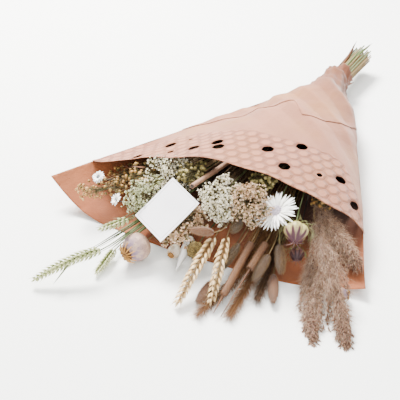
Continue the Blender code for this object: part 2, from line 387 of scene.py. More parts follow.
@dataclass(frozen=True)
class Honeycomb:
    """The slanted lattice of hexagon cells pressed into the front sheet near its mouth."""

    origin: tuple[float, float] = (0.0160, -0.0860)
    first: tuple[float, float] = (0.0160, 0.0040)
    second: tuple[float, float] = (0.0095, -0.0140)
    window: float = 0.64
    cut: float = 0.86

    def centre(self, p: float, q: float) -> Array:
        """Centre of the cell p steps one way and q the other, as distance across and along."""
        return np.array(self.origin) + p * np.array(self.first) + q * np.array(self.second)

    def steps(self, across: Any, along: Any) -> tuple[Any, Any]:
        """Turn distances, or shader values of them, into lattice steps.

        Args:
            across: Distance across the sheet.
            along: Distance along the sleeve.

        Returns:
            The steps p and q.
        """
        a, b, c, d = *self.first, *self.second
        size = a * d - b * c
        x, y = across - self.origin[0], along - self.origin[1]
        return x * (d / size) - y * (c / size), y * (a / size) - x * (b / size)

    def outline(self, p: float, q: float, scale: float) -> Array:
        """Outline of a cell cut right through, with soft corners.

        Args:
            p: Its first step.
            q: Its second step.
            scale: Its size as a share of a whole cut.

        Returns:
            The outline.
        """
        corners = [(1, 1), (2, -1), (1, -2), (-1, -1), (-2, 1), (-1, 2)]
        ring = np.array(
            [self.centre(p + self.cut * scale * i / 3, q + self.cut * scale * j / 3) for i, j in corners])
        after = np.roll(ring, -1, axis=0)
        sides = (ring * 0.84 + after * 0.16, (ring + after) / 2, ring * 0.16 + after * 0.84)
        return np.stack(sides, axis=1).reshape(-1, 2)


HONEYCOMB = Honeycomb()


@dataclass(frozen=True)
class PaperFinish:
    """Kraft wrapping paper with pulp fibres, soft creases and pressed hexagon cells, with painted shade on
    its crease facets and, for the inner paper, deep inside the mouth.
    """

    name: str
    ground: str
    warm: str
    fibre: str
    # Darker tone towards the neck; the same colour paints the shade of the crease facets, and for the inner
    # paper the shade deep inside the mouth.
    neck: str
    cell: str = ""
    cell_wall: str = ""
    cell_ground: str = ""
    roughness: float = 0.82
    # Where along the sleeve the darker tone fades in; for the inner paper it is painted shade from just
    # inside the mouth on.
    reach: tuple[float, float] = (0.07, 0.25)

    def honeycomb(self, shader: Shader) -> tuple[Value, Value, Value]:
        """Draw the honeycomb from the sheet's own coordinates.

        Args:
            shader: The shader that gets it.

        Returns:
            The cells' windows, the walls between them and the whole band, 0 to 1.
        """
        p, q = HONEYCOMB.steps(shader.painted("across"), shader.painted("down"))
        p, q = p.maths("FRACT"), q.maths("FRACT")
        share = None
        for i, j in ((0, 0), (1, 0), (0, 1), (1, 1)):
            a, b = p - i, q - j
            reach = (a * 2 + b).maths("ABSOLUTE").maths("MAXIMUM", (a + b * 2).maths("ABSOLUTE"))
            reach = reach.maths("MAXIMUM", (a - b).maths("ABSOLUTE"))
            share = reach if share is None else share.maths("MINIMUM", reach)
        band = 1 - shader.painted("band").step(0.96, 1.0)
        window = HONEYCOMB.window
        return (1 - share.step(window - 0.05, window + 0.06)) * band, share.step(0.84, 0.98) * band, band

    def make(self) -> bpy.types.Material:
        """Build the material.

        Returns:
            The material.
        """
        shader = Shader(self.name)
        cloud = shader.noise(16.0, 3.0)
        pulp = shader.noise(420.0, 5.0)
        threads = shader.noise(900.0, 2.0, shader.stretched((1.0, 0.18, 1.0)))
        crease = shader.noise(34.0, 5.0, shader.stretched((1.0, 0.45, 1.0)))
        colour = shader.mix(cloud.step(0.40, 0.64), self.ground, self.warm)
        colour = shader.mix(pulp.step(0.55, 0.75) * 0.35, colour, self.fibre)
        colour = shader.mix(threads.step(0.62, 0.78) * 0.30, colour, self.fibre)
        # Darker towards the neck; for the inner paper this is painted shade deep inside the mouth.
        colour = shader.mix(shader.painted("down").step(*self.reach) * 0.85, colour, self.neck)
        # Painted shade: each crease facet is darkened by its slope in one fixed direction.
        colour = shader.mix(shader.painted("crease").step(0.15, 0.85) * 0.34, colour, self.neck)
        height = pulp * 0.15 + crease * 0.85
        if self.cell:
            window, wall, band = self.honeycomb(shader)
            colour = shader.mix(band * 0.45, colour, self.cell_ground)
            colour = shader.mix(window * 0.65, colour, self.cell)
            colour = shader.mix(wall * 0.45, colour, self.cell_wall)
            height = height + window * 0.3 - wall * 0.2
        fixed = {"Specular IOR Level": 0.25, "Sheen Weight": 0.15, "Sheen Roughness": 0.6}
        return shader.surface(colour, self.roughness + (cloud - 0.5) * 0.2, height, 0.0028, fixed)


@dataclass(frozen=True)
class CardFinish:
    """Uncoated white card with a soft tooth and painted shade along its pressed groove."""

    name: str
    ground: str
    shade: str
    # Painted shade along the pressed groove.
    line: str

    def make(self) -> bpy.types.Material:
        """Build the material.

        Returns:
            The material.
        """
        shader = Shader(self.name)
        tooth = shader.noise(1500.0, 3.0)
        cloud = shader.noise(30.0, 2.0)
        colour = shader.mix(cloud.step(0.35, 0.7) * 0.7, self.ground, self.shade)
        # Painted shade: darker along the pressed groove.
        colour = shader.mix(shader.painted("press") * 0.55, colour, self.line)
        return shader.surface(colour, 0.7 + (tooth - 0.5) * 0.1, tooth, 0.00003, {"Specular IOR Level": 0.3})


class Kit:
    """Makes each finish once and hands it out again."""

    def __init__(self) -> None:
        """Start with no finish made."""
        self.made: dict[str, bpy.types.Material] = {}

    def of(self, finish: Any) -> bpy.types.Material:
        """Return the finish's material, making it the first time.

        Args:
            finish: One of the finishes.

        Returns:
            The material.
        """
        if finish.name not in self.made:
            self.made[finish.name] = finish.make()
        return self.made[finish.name]


KIT = Kit()


# ---- plant finishes ----------------------------------------------------------------------------

STRAW_STEM = FibreFinish("straw_stem", ((0.0, "7f6842"), (0.3, "8c774f"), (1.0, "755e3b")), "563e1f")
GREEN_STEM = FibreFinish("green_stem", ((0.0, "68734d"), (0.3, "7e835b"), (1.0, "515c32")), "404825")
DARK_STEM = FibreFinish("dark_stem", ((0.0, "3f3122"), (0.4, "312115"), (1.0, "251810")), "150c07")
REED_STALK = FibreFinish("reed_stalk", ((0.0, "967258"), (0.5, "a37e65"), (1.0, "916e59")), "71513f")
# The husk ramps start dark at each husk's root: painted shade where the husks overlap.
GREEN_HUSK = PlantFinish(
    "green_husk", ((0.0, "343c1e"), (0.25, "6f7a45"), (0.6, "b0b47c"), (1.0, "e3ddb4")), "5d6a38", "dfdcb0",
    0.5, 0.5, 0.6)
RIPE_HUSK = PlantFinish(
    "ripe_husk", ((0.0, "4e3620"), (0.25, "9a774c"), (0.65, "d9bd8c"), (1.0, "c99f66")), "9c7443", "f0dfbb",
    0.45, 0.6, 0.58)
TAIL_FUZZ = PlantFinish(
    "tail_fuzz", ((0.0, "3e2814"), (0.4, "684929"), (0.8, "83623b"), (1.0, "917149")), "462e16", "9e8155",
    0.4, 0.4, 0.8, 0.3)
OCHRE_FUZZ = PlantFinish(
    "ochre_fuzz", ((0.0, "36220c"), (0.4, "60441c"), (0.8, "7c5d2c"), (1.0, "876a38")), "412b10", "967842",
    0.4, 0.4, 0.8, 0.3)
ROSE_FUZZ = PlantFinish(
    "rose_fuzz", ((0.0, "54311a"), (0.4, "7b5134"), (0.8, "936b49"), (1.0, "9e7958")), "5a371f", "a98664",
    0.35, 0.4, 0.8, 0.3)
TAIL_AWN = PlantFinish("tail_awn", ((0.0, "7a5230"), (1.0, "5f3a20")), "472a17", "a07a50", 0.5, 0.4, 0.7)
MACE_BROWN = FibreFinish(
    "mace_brown", ((0.0, "4a2e19"), (0.3, "634125"), (0.7, "714d2e"), (1.0, "614024")), "402410", 0.55, 0.7,
    0.00012, (1.0, 0.05, 1.0))
BRISTLE_RED = PlantFinish(
    "bristle_red", ((0.0, "45281a"), (0.35, "7d5233"), (0.8, "a87c50"), (1.0, "c7a274")), "5a3823",
    "c09062", 0.6, 0.4, 0.6)
BRISTLE_DARK = PlantFinish(
    "bristle_dark", ((0.0, "2b1b13"), (0.4, "4f3524"), (0.8, "7d5d40"), (1.0, "a08260")), "20150f",
    "8c6a4d", 0.6, 0.35, 0.6)
PLUME_HAIR = PlantFinish(
    "plume_hair", ((0.0, "6d4c36"), (0.4, "977153"), (0.8, "bf9a7a"), (1.0, "d6b899")), "6e4f3a", "e2c8ab",
    0.5, 0.45, 0.75, 0.25)
PLUME_SEED = PlantFinish(
    "plume_seed", ((0.0, "38231a"), (0.5, "5a3d2f"), (1.0, "86624c")), "28180f", "86664f", 0.5, 0.45, 0.65)
PLUME_TWIG = PlantFinish("plume_twig", ((0.0, "7d5f46"), (1.0, "624536")), "51382a", "99795d", 0.4, 0.4, 0.7)
BLOSSOM = PlantFinish(
    "blossom", ((0.0, "a89a70"), (0.3, "ded5b8"), (1.0, "f8f3e2")), "c2b48c", "fffdf4", 0.5, 0.6, 0.7)
PINK_BLOSSOM = PlantFinish(
    "pink_blossom", ((0.0, "8c6546"), (0.3, "c5a07c"), (1.0, "e3c8ac")), "9c7550", "fbeedd", 0.55, 0.55, 0.7)
GREEN_BLOSSOM = PlantFinish(
    "green_blossom", ((0.0, "6d7844"), (0.3, "b0b583"), (1.0, "e9e8cc")), "848d58", "fbfbe8", 0.55, 0.5, 0.7)
CALYX = PlantFinish("calyx", ((0.0, "55522b"), (1.0, "8b824d")), "41391e", "a79d6a", 0.5, 0.4, 0.7)
TWIG = PlantFinish("twig", ((0.0, "4a3d22"), (1.0, "5a5632")), "271c0f", "706c47", 0.5, 0.4, 0.7)
WISP = PlantFinish(
    "wisp", ((0.0, "533925"), (0.6, "634b34"), (1.0, "746343")), "291a10", "977e5d", 0.7, 0.5, 0.7)
FLAX_POD = PlantFinish(
    "flax_pod", ((0.0, "52381a"), (0.35, "8a6230"), (0.8, "ac7c42"), (1.0, "5c3c1b")), "6c6230", "e0c48c",
    0.6, 0.45, 0.5)
GREEN_POD = PlantFinish(
    "green_pod", ((0.0, "4a431f"), (0.35, "75693a"), (0.8, "948654"), (1.0, "54452a")), "443c1c", "b0a46c",
    0.6, 0.45, 0.5)
POPPY_SKIN = MottledFinish(
    "poppy_skin", ((0.0, "83705a"), (0.3, "a28470"), (0.65, "9b7f76"), (0.95, "7f6d86")), "b89b86",
    "5c4640", 0.66, 0.0005)
POPPY_DARK = PlantFinish("poppy_dark", ((0.0, "2c1b0f"), (1.0, "4a2f17")), "1c120b", "664425", 0.5, 0.4, 0.7)
POPPY_RAY = PlantFinish(
    "poppy_ray", ((0.0, "7a4f22"), (0.5, "aa7838"), (1.0, "c08a48")), "6b4420", "dcae66", 0.4, 0.4, 0.6)
BUD_SKIN = MottledFinish(
    "bud_skin", ((0.0, "99946f"), (0.3, "c9c0a6"), (0.7, "dcd4c4"), (1.0, "b7a48c")), "b0a088", "8d7c62",
    0.62, 0.0002)
NIGELLA_SKIN = MottledFinish(
    "nigella_skin", ((0.0, "868240"), (0.3, "b2a664"), (0.7, "a9946a"), (1.0, "6e4a44")), "9a9152",
    "7c6636", 0.5, 0.0002, "46262f")
NIGELLA_DUSK = MottledFinish(
    "nigella_dusk", ((0.0, "604a33"), (0.4, "5f3933"), (1.0, "391f1f")), "775645", "351e1c", 0.55, 0.0002,
    "291417")
NIGELLA_BRACT = PlantFinish(
    "nigella_bract", ((0.0, "62683a"), (1.0, "858256")), "393f23", "9d9970", 0.5, 0.4, 0.7)
PETAL_WHITE = PlantFinish(
    "petal_white", ((0.0, "d9d3c6"), (0.25, "f4f1ea"), (1.0, "fffefa")), "e6e1d6", "ffffff", 0.35, 0.6, 0.5,
    0.15)
DISC_LILAC = PlantFinish(
    "disc_lilac", ((0.0, "8f8294"), (0.6, "b3a8b6"), (1.0, "d2c8cf")), "85788c", "e4dce0", 0.45, 0.45, 0.8)
DISC_DARK = PlantFinish("disc_dark", ((0.0, "4d4f52"), (1.0, "8a8d90")), "33363a", "a6a8a8", 0.5, 0.4, 0.8)
SCABIOUS = PlantFinish(
    "scabious_cup", ((0.0, "2c2210"), (0.4, "5a4a26"), (1.0, "8f7a48")), "241b0e", "b5a06a", 0.55, 0.4, 0.65)
LEAF_WHITE = PlantFinish(
    "leaf_white", ((0.0, "d9d6c4"), (0.3, "f2f0e8"), (1.0, "fffefb")), "e2ddd0", "ffffff", 0.3, 0.5, 0.55,
    0.0, 0.0002)
LEAF_BROWN = PlantFinish(
    "leaf_brown", ((0.0, "6b4428"), (0.5, "55331e"), (1.0, "3a2216")), "2c1a12", "8a6140", 0.5, 0.4, 0.6,
    0.0, 0.0002)
BLADE_GREEN = PlantFinish(
    "blade_green", ((0.0, "78824f"), (0.5, "525d30"), (1.0, "2f381c")), "39431f", "8d9760", 0.5, 0.4, 0.6,
    0.0, 0.00015)
TWINE = PlantFinish("twine", ((0.0, "977e5a"), (1.0, "a38a64")), "715a39", "bba782", 0.5, 0.5, 0.85, 0.2)
# The outer papers' last colour darkens them towards the neck and paints the shade of their crease facets.
OUTER_PAPER = PaperFinish("outer_paper", "98634a", "9b6843", "7b4d33", "5a2d13")
BAND_PAPER = PaperFinish("band_paper", "98634a", "9b6843", "7b4d33", "5a2d13", "a76d52", "77412b", "713b25")
# The inner paper's last colour is painted shade deep inside the sleeve, fading in from the mouth.
INNER_PAPER = PaperFinish("inner_paper", "955329", "88471f", "6f381a", "3c2112", reach=(-0.160, -0.040))
CARD_STOCK = CardFinish("card_stock", "fbf8fa", "f3eff2", "a99f9c")
HORN = PlantFinish("pod_horn", ((0.0, "6a4a48"), (1.0, "3f2a2b")), "2e1e1f", "8a6658", 0.5, 0.4, 0.6)


# ---- mesh building -----------------------------------------------------------------------------


def unit(vectors: Array) -> Array:
    """Scale each vector to length one."""
    return vectors / np.maximum(np.linalg.norm(vectors, axis=-1, keepdims=True), 1e-9)


def ease(share: Array | float) -> Any:
    """Ease a share between 0 and 1 in and out."""
    share = np.clip(share, 0.0, 1.0)
    return share * share * (3.0 - 2.0 * share)


def facing(forward: Array, side: Array) -> Array:
    """Build right-angled bases with their third row along forward.

    Args:
        forward: Growth directions.
        side: Rough sideways directions.

    Returns:
        One 3 by 3 basis per direction, rows across, over and along.
    """
    along = unit(forward)
    across = unit(side - along * np.sum(side * along, axis=-1, keepdims=True))
    return np.stack((across, np.cross(along, across), along), axis=-2)


def turns(count: int) -> Array:
    """Space angles evenly round a circle."""
    return np.arange(count) * 2 * math.pi / count


def fan(first: Array, second: Array, angles: Array) -> Array:
    """Turn from one direction towards another by each angle."""
    return first * np.cos(angles)[:, None] + second * np.sin(angles)[:, None]


def trail(directions: Array, shares: Array) -> Array:
    """Step along each direction by each share, the same shares for all or a row for each."""
    return directions[:, None] * np.atleast_2d(shares)[..., None]


def between(starts: Array, ends: Array, t: Array) -> Array:
    """Run straight from each start to its end."""
    return trail(starts, 1 - t) + trail(ends, t)


def slim(sizes: Array, share: float) -> Array:
    """Make each copy narrower across than it is long."""
    return np.stack((sizes * share, sizes * share, sizes), axis=1)


def walk(path: Array) -> Array:
    """Measure the distance from a path's start to each of its points."""
    return np.concatenate(([0.0], np.cumsum(np.linalg.norm(np.diff(path, axis=0), axis=1))))


def wall_faces(rows: int, sides: int) -> Array:
    """List the quads between rings of points."""
    index = np.arange(rows * sides).reshape(rows, sides)
    a, b = index[:-1], index[1:]
    return np.stack((a, np.roll(a, -1, 1), np.roll(b, -1, 1), b), axis=-1).reshape(-1, 4)


def put(name: str, data: Any) -> bpy.types.Object:
    """Put data in the scene as an object."""
    made = bpy.data.objects.new(name, data)
    bpy.context.scene.collection.objects.link(made)
    return made


def smooth_path(points: Array, count: int) -> Array:
    """Resample a polyline on a smooth curve with even steps.

    Args:
        points: The polyline.
        count: Number of points wanted.

    Returns:
        The smooth path.
    """
    ends = np.vstack((2 * points[0] - points[1], points, 2 * points[-1] - points[-2]))
    dense = []
    for a, b, c, d in zip(ends[:-3], ends[1:-2], ends[2:-1], ends[3:]):
        t = np.linspace(0.0, 1.0, 12, endpoint=False)[:, None]
        dense.append(
            0.5 * (2 * b + (c - a) * t + (2 * a - 5 * b + 4 * c - d) * t**2 + (3 * b - a - 3 * c + d) * t**3))
    path = np.vstack((*dense, points[-1:]))
    walked = walk(path)
    wanted = np.linspace(0.0, walked[-1], count)
    return np.stack([np.interp(wanted, walked, path[:, i]) for i in range(path.shape[1])], axis=1)


def travel_frames(path: Array, side: Array) -> Array:
    """Carry a basis along a path without twisting it.

    Args:
        path: The path's points.
        side: The first sideways direction.

    Returns:
        One basis per point.
    """
    tangents = unit(np.gradient(path, axis=0))
    bases = []
    for tangent in tangents:
        basis = facing(tangent, side)
        side = basis[0]
        bases.append(basis)
    return np.array(bases)


@dataclass
class Form:
    """A small template shape that is stamped many times."""

    points: Array
    faces: Array
    along: Array
    side: Array


def lathe_form(profile: Sequence[tuple[float, float]], sides: int, flat: float = 1.0) -> Form:
    """Turn a profile round the growth axis, closed at both ends.

    Args:
        profile: (height, radius) pairs from root to tip.
        sides: Number of sides.
        flat: Thickness as a share of width.

    Returns:
        The form, in quads with its ends drawn to a point.
    """
    rows = len(profile)
    angles = turns(sides)
    heights, radii = np.array(profile, float).T
    points = np.empty((rows, sides, 3))
    points[..., 0] = radii[:, None] * np.cos(angles)
    points[..., 1] = radii[:, None] * np.sin(angles) * flat
    points[..., 2] = heights[:, None]
    along = np.repeat((heights - heights[0]) / (heights[-1] - heights[0]), sides)
    return Form(points.reshape(-1, 3), wall_faces(rows, sides), along, np.tile(np.cos(angles), rows))


def sheet_form(width: Callable[[Array], Array], cup: Callable[[Array, Array], Array], rows: int, columns: int,
               thickness: float = 0.02) -> Form:
    """Shape a thin closed blade one unit long, such as a petal.

    Args:
        width: Half width at each share of the length.
        cup: Height at each share of length and width.
        rows: Steps along.
        columns: Steps across.
        thickness: Thickness in units of the length.

    Returns:
        The form, with an upper and a lower face.
    """
    t, u = np.meshgrid(np.linspace(0, 1, rows), np.linspace(-1, 1, columns), indexing="ij")
    over = cup(t, u)
    half = thickness * 0.5 * (1 - np.abs(u) ** 3) * (1 - 0.7 * t)
    upper = np.stack((width(t) * u, over + half, t), axis=-1).reshape(-1, 3)
    lower = np.stack((width(t) * u, over - half, t), axis=-1).reshape(-1, 3)
    index = np.arange(rows * columns).reshape(rows, columns)
    a, b, c, d = index[:-1, :-1], index[:-1, 1:], index[1:, 1:], index[1:, :-1]
    top = np.stack((a, d, c, b), axis=-1).reshape(-1, 4)
    low = np.stack((a, b, c, d), axis=-1).reshape(-1, 4) + rows * columns
    return Form(
        np.vstack((upper, lower)), np.vstack((top, low)), np.tile(t.ravel(), 2), np.tile(u.ravel(), 2))


class Mesher:
    """Gathers the surfaces of one piece, with a tint and a place along each part painted on."""

    def __init__(self, name: str) -> None:
        """Start an empty piece.

        Args:
            name: The piece's name.
        """
        self.name = name
        self.points: list[Array] = []
        self.faces: list[Array] = []
        self.marks: list[Array] = []
        self.finishes: list[Any] = []
        self.face_finish: list[Array] = []
        self.count = 0

    def add(self, points: Array, faces: Array, along: Array, side: Array, tint: Array, finish: Any) -> None:
        """Add a surface.

        Args:
            points: Its points.
            faces: Its faces, three or four corners each.
            along: Place along the part, 0 to 1, per point.
            side: Place across the part, -1 to 1, per point.
            tint: Tint, 0 to 1, per point.
            finish: Its finish.
        """
        if finish not in self.finishes:
            self.finishes.append(finish)
        if faces.shape[1] == 3:
            faces = np.hstack((faces, np.full((len(faces), 1), -1)))
            faces[:, :3] += self.count
        else:
            faces = faces + self.count
        self.points.append(points)
        self.faces.append(faces)
        self.marks.append(np.stack((along, side, tint), axis=1))
        self.face_finish.append(np.full(len(faces), self.finishes.index(finish)))
        self.count += len(points)

    def stamp(self, form: Form, places: Array, bases: Array, sizes: Array, tints: Array, finish: Any) -> None:
        """Stamp a form at many places.

        Args:
            form: The form.
            places: Where each copy's root stands.
            bases: Each copy's basis, rows across, over and along.
            sizes: Each copy's size, one number or one per axis.
            tints: Each copy's tint.
            finish: Their finish.
        """
        count = len(places)
        sizes = np.broadcast_to(np.asarray(sizes, float).reshape(count, -1), (count, 3))
        points = np.einsum("nj,kj,kji->kni", form.points, sizes, bases) + places[:, None, :]
        steps = np.arange(count)[:, None, None] * len(form.points)
        faces = (form.faces[None] + steps).reshape(-1, form.faces.shape[1])
        self.add(
            points.reshape(-1, 3), faces, np.tile(form.along, count), np.tile(form.side, count),
            np.repeat(tints, len(form.points)), finish,
        )

    def strands(self, paths: Array, radii: Array, tints: Array, finish: Any, sides: int = 3) -> None:
        """Grow many fine tapered strands at once, each drawn to a point.

        Args:
            paths: Points of each strand, (strands, points, 3).
            radii: Radius at each point of a strand, (points,) or (strands, points).
            tints: Each strand's tint.
            finish: Their finish.
            sides: Number of sides.
        """
        count, steps = paths.shape[:2]
        radii = np.broadcast_to(radii, (count, steps))
        tangents = unit(np.gradient(paths, axis=1))
        helper = np.where(np.abs(tangents[:, :1, 2:]) < 0.9, UP, np.array((1.0, 0.0, 0.0)))
        across = unit(np.cross(tangents, np.broadcast_to(helper, tangents.shape)))
        over = np.cross(tangents, across)
        angles = turns(sides)
        ring = fan(across[:, :, None], over[:, :, None], angles)
        points = paths[:, :, None] + ring * radii[:, :, None, None]
        faces = wall_faces(steps, sides)
        shift = np.arange(count)[:, None, None] * steps * sides
        along = np.tile(np.repeat(np.linspace(0, 1, steps), sides), count)
        side = np.tile(np.tile(np.linspace(-1, 1, sides), steps), count)
        self.add(
            points.reshape(-1, 3), (faces[None] + shift).reshape(-1, 4), along, side,
            np.repeat(tints, steps * sides), finish,
        )

    def tube(self, path: Array, radii: Array, sides: int, finish: Any, tint: Any = 0.5,
             side: Array = UP, reach: tuple[float, float] = (0.0, 1.0)) -> None:
        """Run a closed tube along a path.

        Args:
            path: The path's points.
            radii: Radius per point, or per point and side.
            sides: Number of sides.
            finish: Its finish.
            tint: One tint, one per side, or one per point and side.
            side: Where its first side faces.
            reach: What along holds at its two ends.
        """
        steps = len(path)
        bases = travel_frames(path, side)
        angles = turns(sides)
        ring = fan(bases[:, None, 0], bases[:, None, 1], angles)
        radii = radii.reshape(steps, -1)[..., None]
        points = np.concatenate((path[:1], (path[:, None] + ring * radii).reshape(-1, 3), path[-1:]))
        first = np.arange(sides) + 1
        last = first + (steps - 1) * sides
        caps = np.concatenate((
            np.stack((np.zeros(sides, int), np.roll(first, -1), first), axis=1),
            np.stack((np.full(sides, steps * sides + 1), last, np.roll(last, -1)), axis=1),
        ))
        walked = walk(path)
        share = reach[0] + (reach[1] - reach[0]) * walked / walked[-1]
        along = np.concatenate((share[:1], np.repeat(share, sides), share[-1:]))
        across = np.concatenate(([0.0], np.tile(np.cos(angles), steps), [0.0]))
        tint_grid = np.broadcast_to(np.asarray(tint, float), (steps, sides)).ravel()
        tints = np.concatenate((tint_grid[:1], tint_grid, tint_grid[-1:]))
        start = self.count
        self.add(points, wall_faces(steps, sides) + 1, along, across, tints, finish)
        faces = np.hstack((caps + start, np.full((len(caps), 1), -1)))
        self.faces.append(faces)
        self.face_finish.append(np.full(len(faces), self.finishes.index(finish)))

    def close(self) -> bpy.types.Object:
        """Write the piece's mesh, its painted values and a UV map that runs by tint and along."""
        points = np.vstack(self.points)
        faces = np.vstack(self.faces)
        marks = np.vstack(self.marks)
        slots = np.concatenate(self.face_finish)
        sizes = np.where(faces[:, 3] < 0, 3, 4)
        corners = faces[faces >= 0]
        data = bpy.data.meshes.new(self.name)
        data.vertices.add(len(points))
        data.vertices.foreach_set("co", points.ravel())
        data.loops.add(len(corners))
        data.loops.foreach_set("vertex_index", corners)
        data.polygons.add(len(faces))
        data.polygons.foreach_set("loop_start", np.concatenate(([0], np.cumsum(sizes)[:-1])))
        data.polygons.foreach_set("material_index", slots)
        data.polygons.foreach_set("use_smooth", np.ones(len(faces), bool))
        for finish in self.finishes:
            data.materials.append(KIT.of(finish))
        for column, name in ((0, "along"), (2, "tint")):
            data.attributes.new(name, "FLOAT", "POINT").data.foreach_set("value", marks[:, column].copy())
        v = (np.repeat(slots, sizes) + 0.03 + 0.94 * marks[corners, 0]) / len(self.finishes)
        u = 0.02 + 0.95 * marks[corners, 2] + 0.006 * marks[corners, 1]
        data.uv_layers.new(name="OFBake").data.foreach_set("uv", np.stack((u, v), axis=1).ravel())
        data.update(calc_edges=True)
        data.validate()
        return put(self.name, data)


def settle(piece: bpy.types.Object, slot: str, *nodes: str) -> None:
    """Fix a piece to the bouquet in place of its frame nodes and log it.

    Args:
        piece: The piece.
        slot: The finish slot's name; not used.
        nodes: The frame nodes it stands for.
    """
    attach(piece, ROOT)
    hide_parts(*nodes)
    LOG.info("%s: %d faces", piece.name, len(piece.data.polygons))


# ---- reading the frame -------------------------------------------------------------------------


def node_points(node: str) -> Array:
    """Read a frame node's points."""
    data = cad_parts[node].data
    points = np.empty(len(data.vertices) * 3)
    data.vertices.foreach_get("co", points)
    return points.reshape(-1, 3)


def read_rings(node: str) -> tuple[Array, Array]:
    """Read a grown solid's rings from its cut end to its tip.

    Args:
        node: The frame node.

    Returns:
        The rings' centres and radii.
    """
    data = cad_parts[node].data
    points, index = np.unique(np.round(node_points(node), 6), axis=0, return_inverse=True)
    index = index.ravel()
    near: list[set[int]] = [set() for _ in points]
    for polygon in data.polygons:
        corners = [int(index[v]) for v in polygon.vertices]
        for corner in corners:
            near[corner].update(corners)
    end = points[np.argmax(points[:, 1])]
    level = {i for i in range(len(points)) if np.linalg.norm(points[i] - end) < 0.006}
    seen = set(level)
    rings = []
    while level:
        rings.append(points[sorted(level)])
        level = {n for i in level for n in near[i] if n not in seen}
        seen |= level
    centres = np.array([ring.mean(0) for ring in rings])
    radii = np.array([np.linalg.norm(r - c, axis=1).max() for r, c in zip(rings, centres)])
    return centres, radii


class Spine:
    """The smooth middle line of a head with its frames and girth."""

    def __init__(self, points: Array, radii: Array, count: int = 72) -> None:
        """Fit the line through a head's rings.

        Args:
            points: Ring centres from base to tip.
            radii: Ring radii.
            count: Number of samples.
        """
        self.path = smooth_path(points, count)
        self.bases = travel_frames(self.path, UP)
        walked = walk(points)
        self.radii = np.interp(np.linspace(0, walked[-1], count), walked, radii)
        self.girth = float(radii.max())

    def at(self, t: Array) -> tuple[Array, Array, Array]:
        """Read the line at shares of its length.

        Args:
            t: The shares.

        Returns:
            Points, bases and radii.
        """
        place = np.clip(t, 0, 1) * (len(self.path) - 1)
        low = np.minimum(place.astype(int), len(self.path) - 2)
        part = (place - low)[:, None]
        points = self.path[low] * (1 - part) + self.path[low + 1] * part
        radii = self.radii[low] * (1 - part[:, 0]) + self.radii[low + 1] * part[:, 0]
        return points, self.bases[low], radii

    def spiral(self, count: int, phase: float = 0.0) -> tuple[Array, ...]:
        """Space roots evenly along and round the line: their shares, and what around gives there."""
        k = np.arange(count)
        place = (k + 0.5) / count
        return place, *self.around(place, k * GOLDEN_ANGLE + phase)

    def around(self, t: Array, angle: Array) -> tuple[Array, Array, Array, Array]:
        """Read the line and an outward direction at each share and angle.

        Args:
            t: The shares.
            angle: The angles round the line.

        Returns:
            Points, outward directions, forward directions and radii.
        """
        points, bases, radii = self.at(t)
        out = fan(bases[:, 0], bases[:, 1], angle)
        return points, out, bases[:, 2], radii


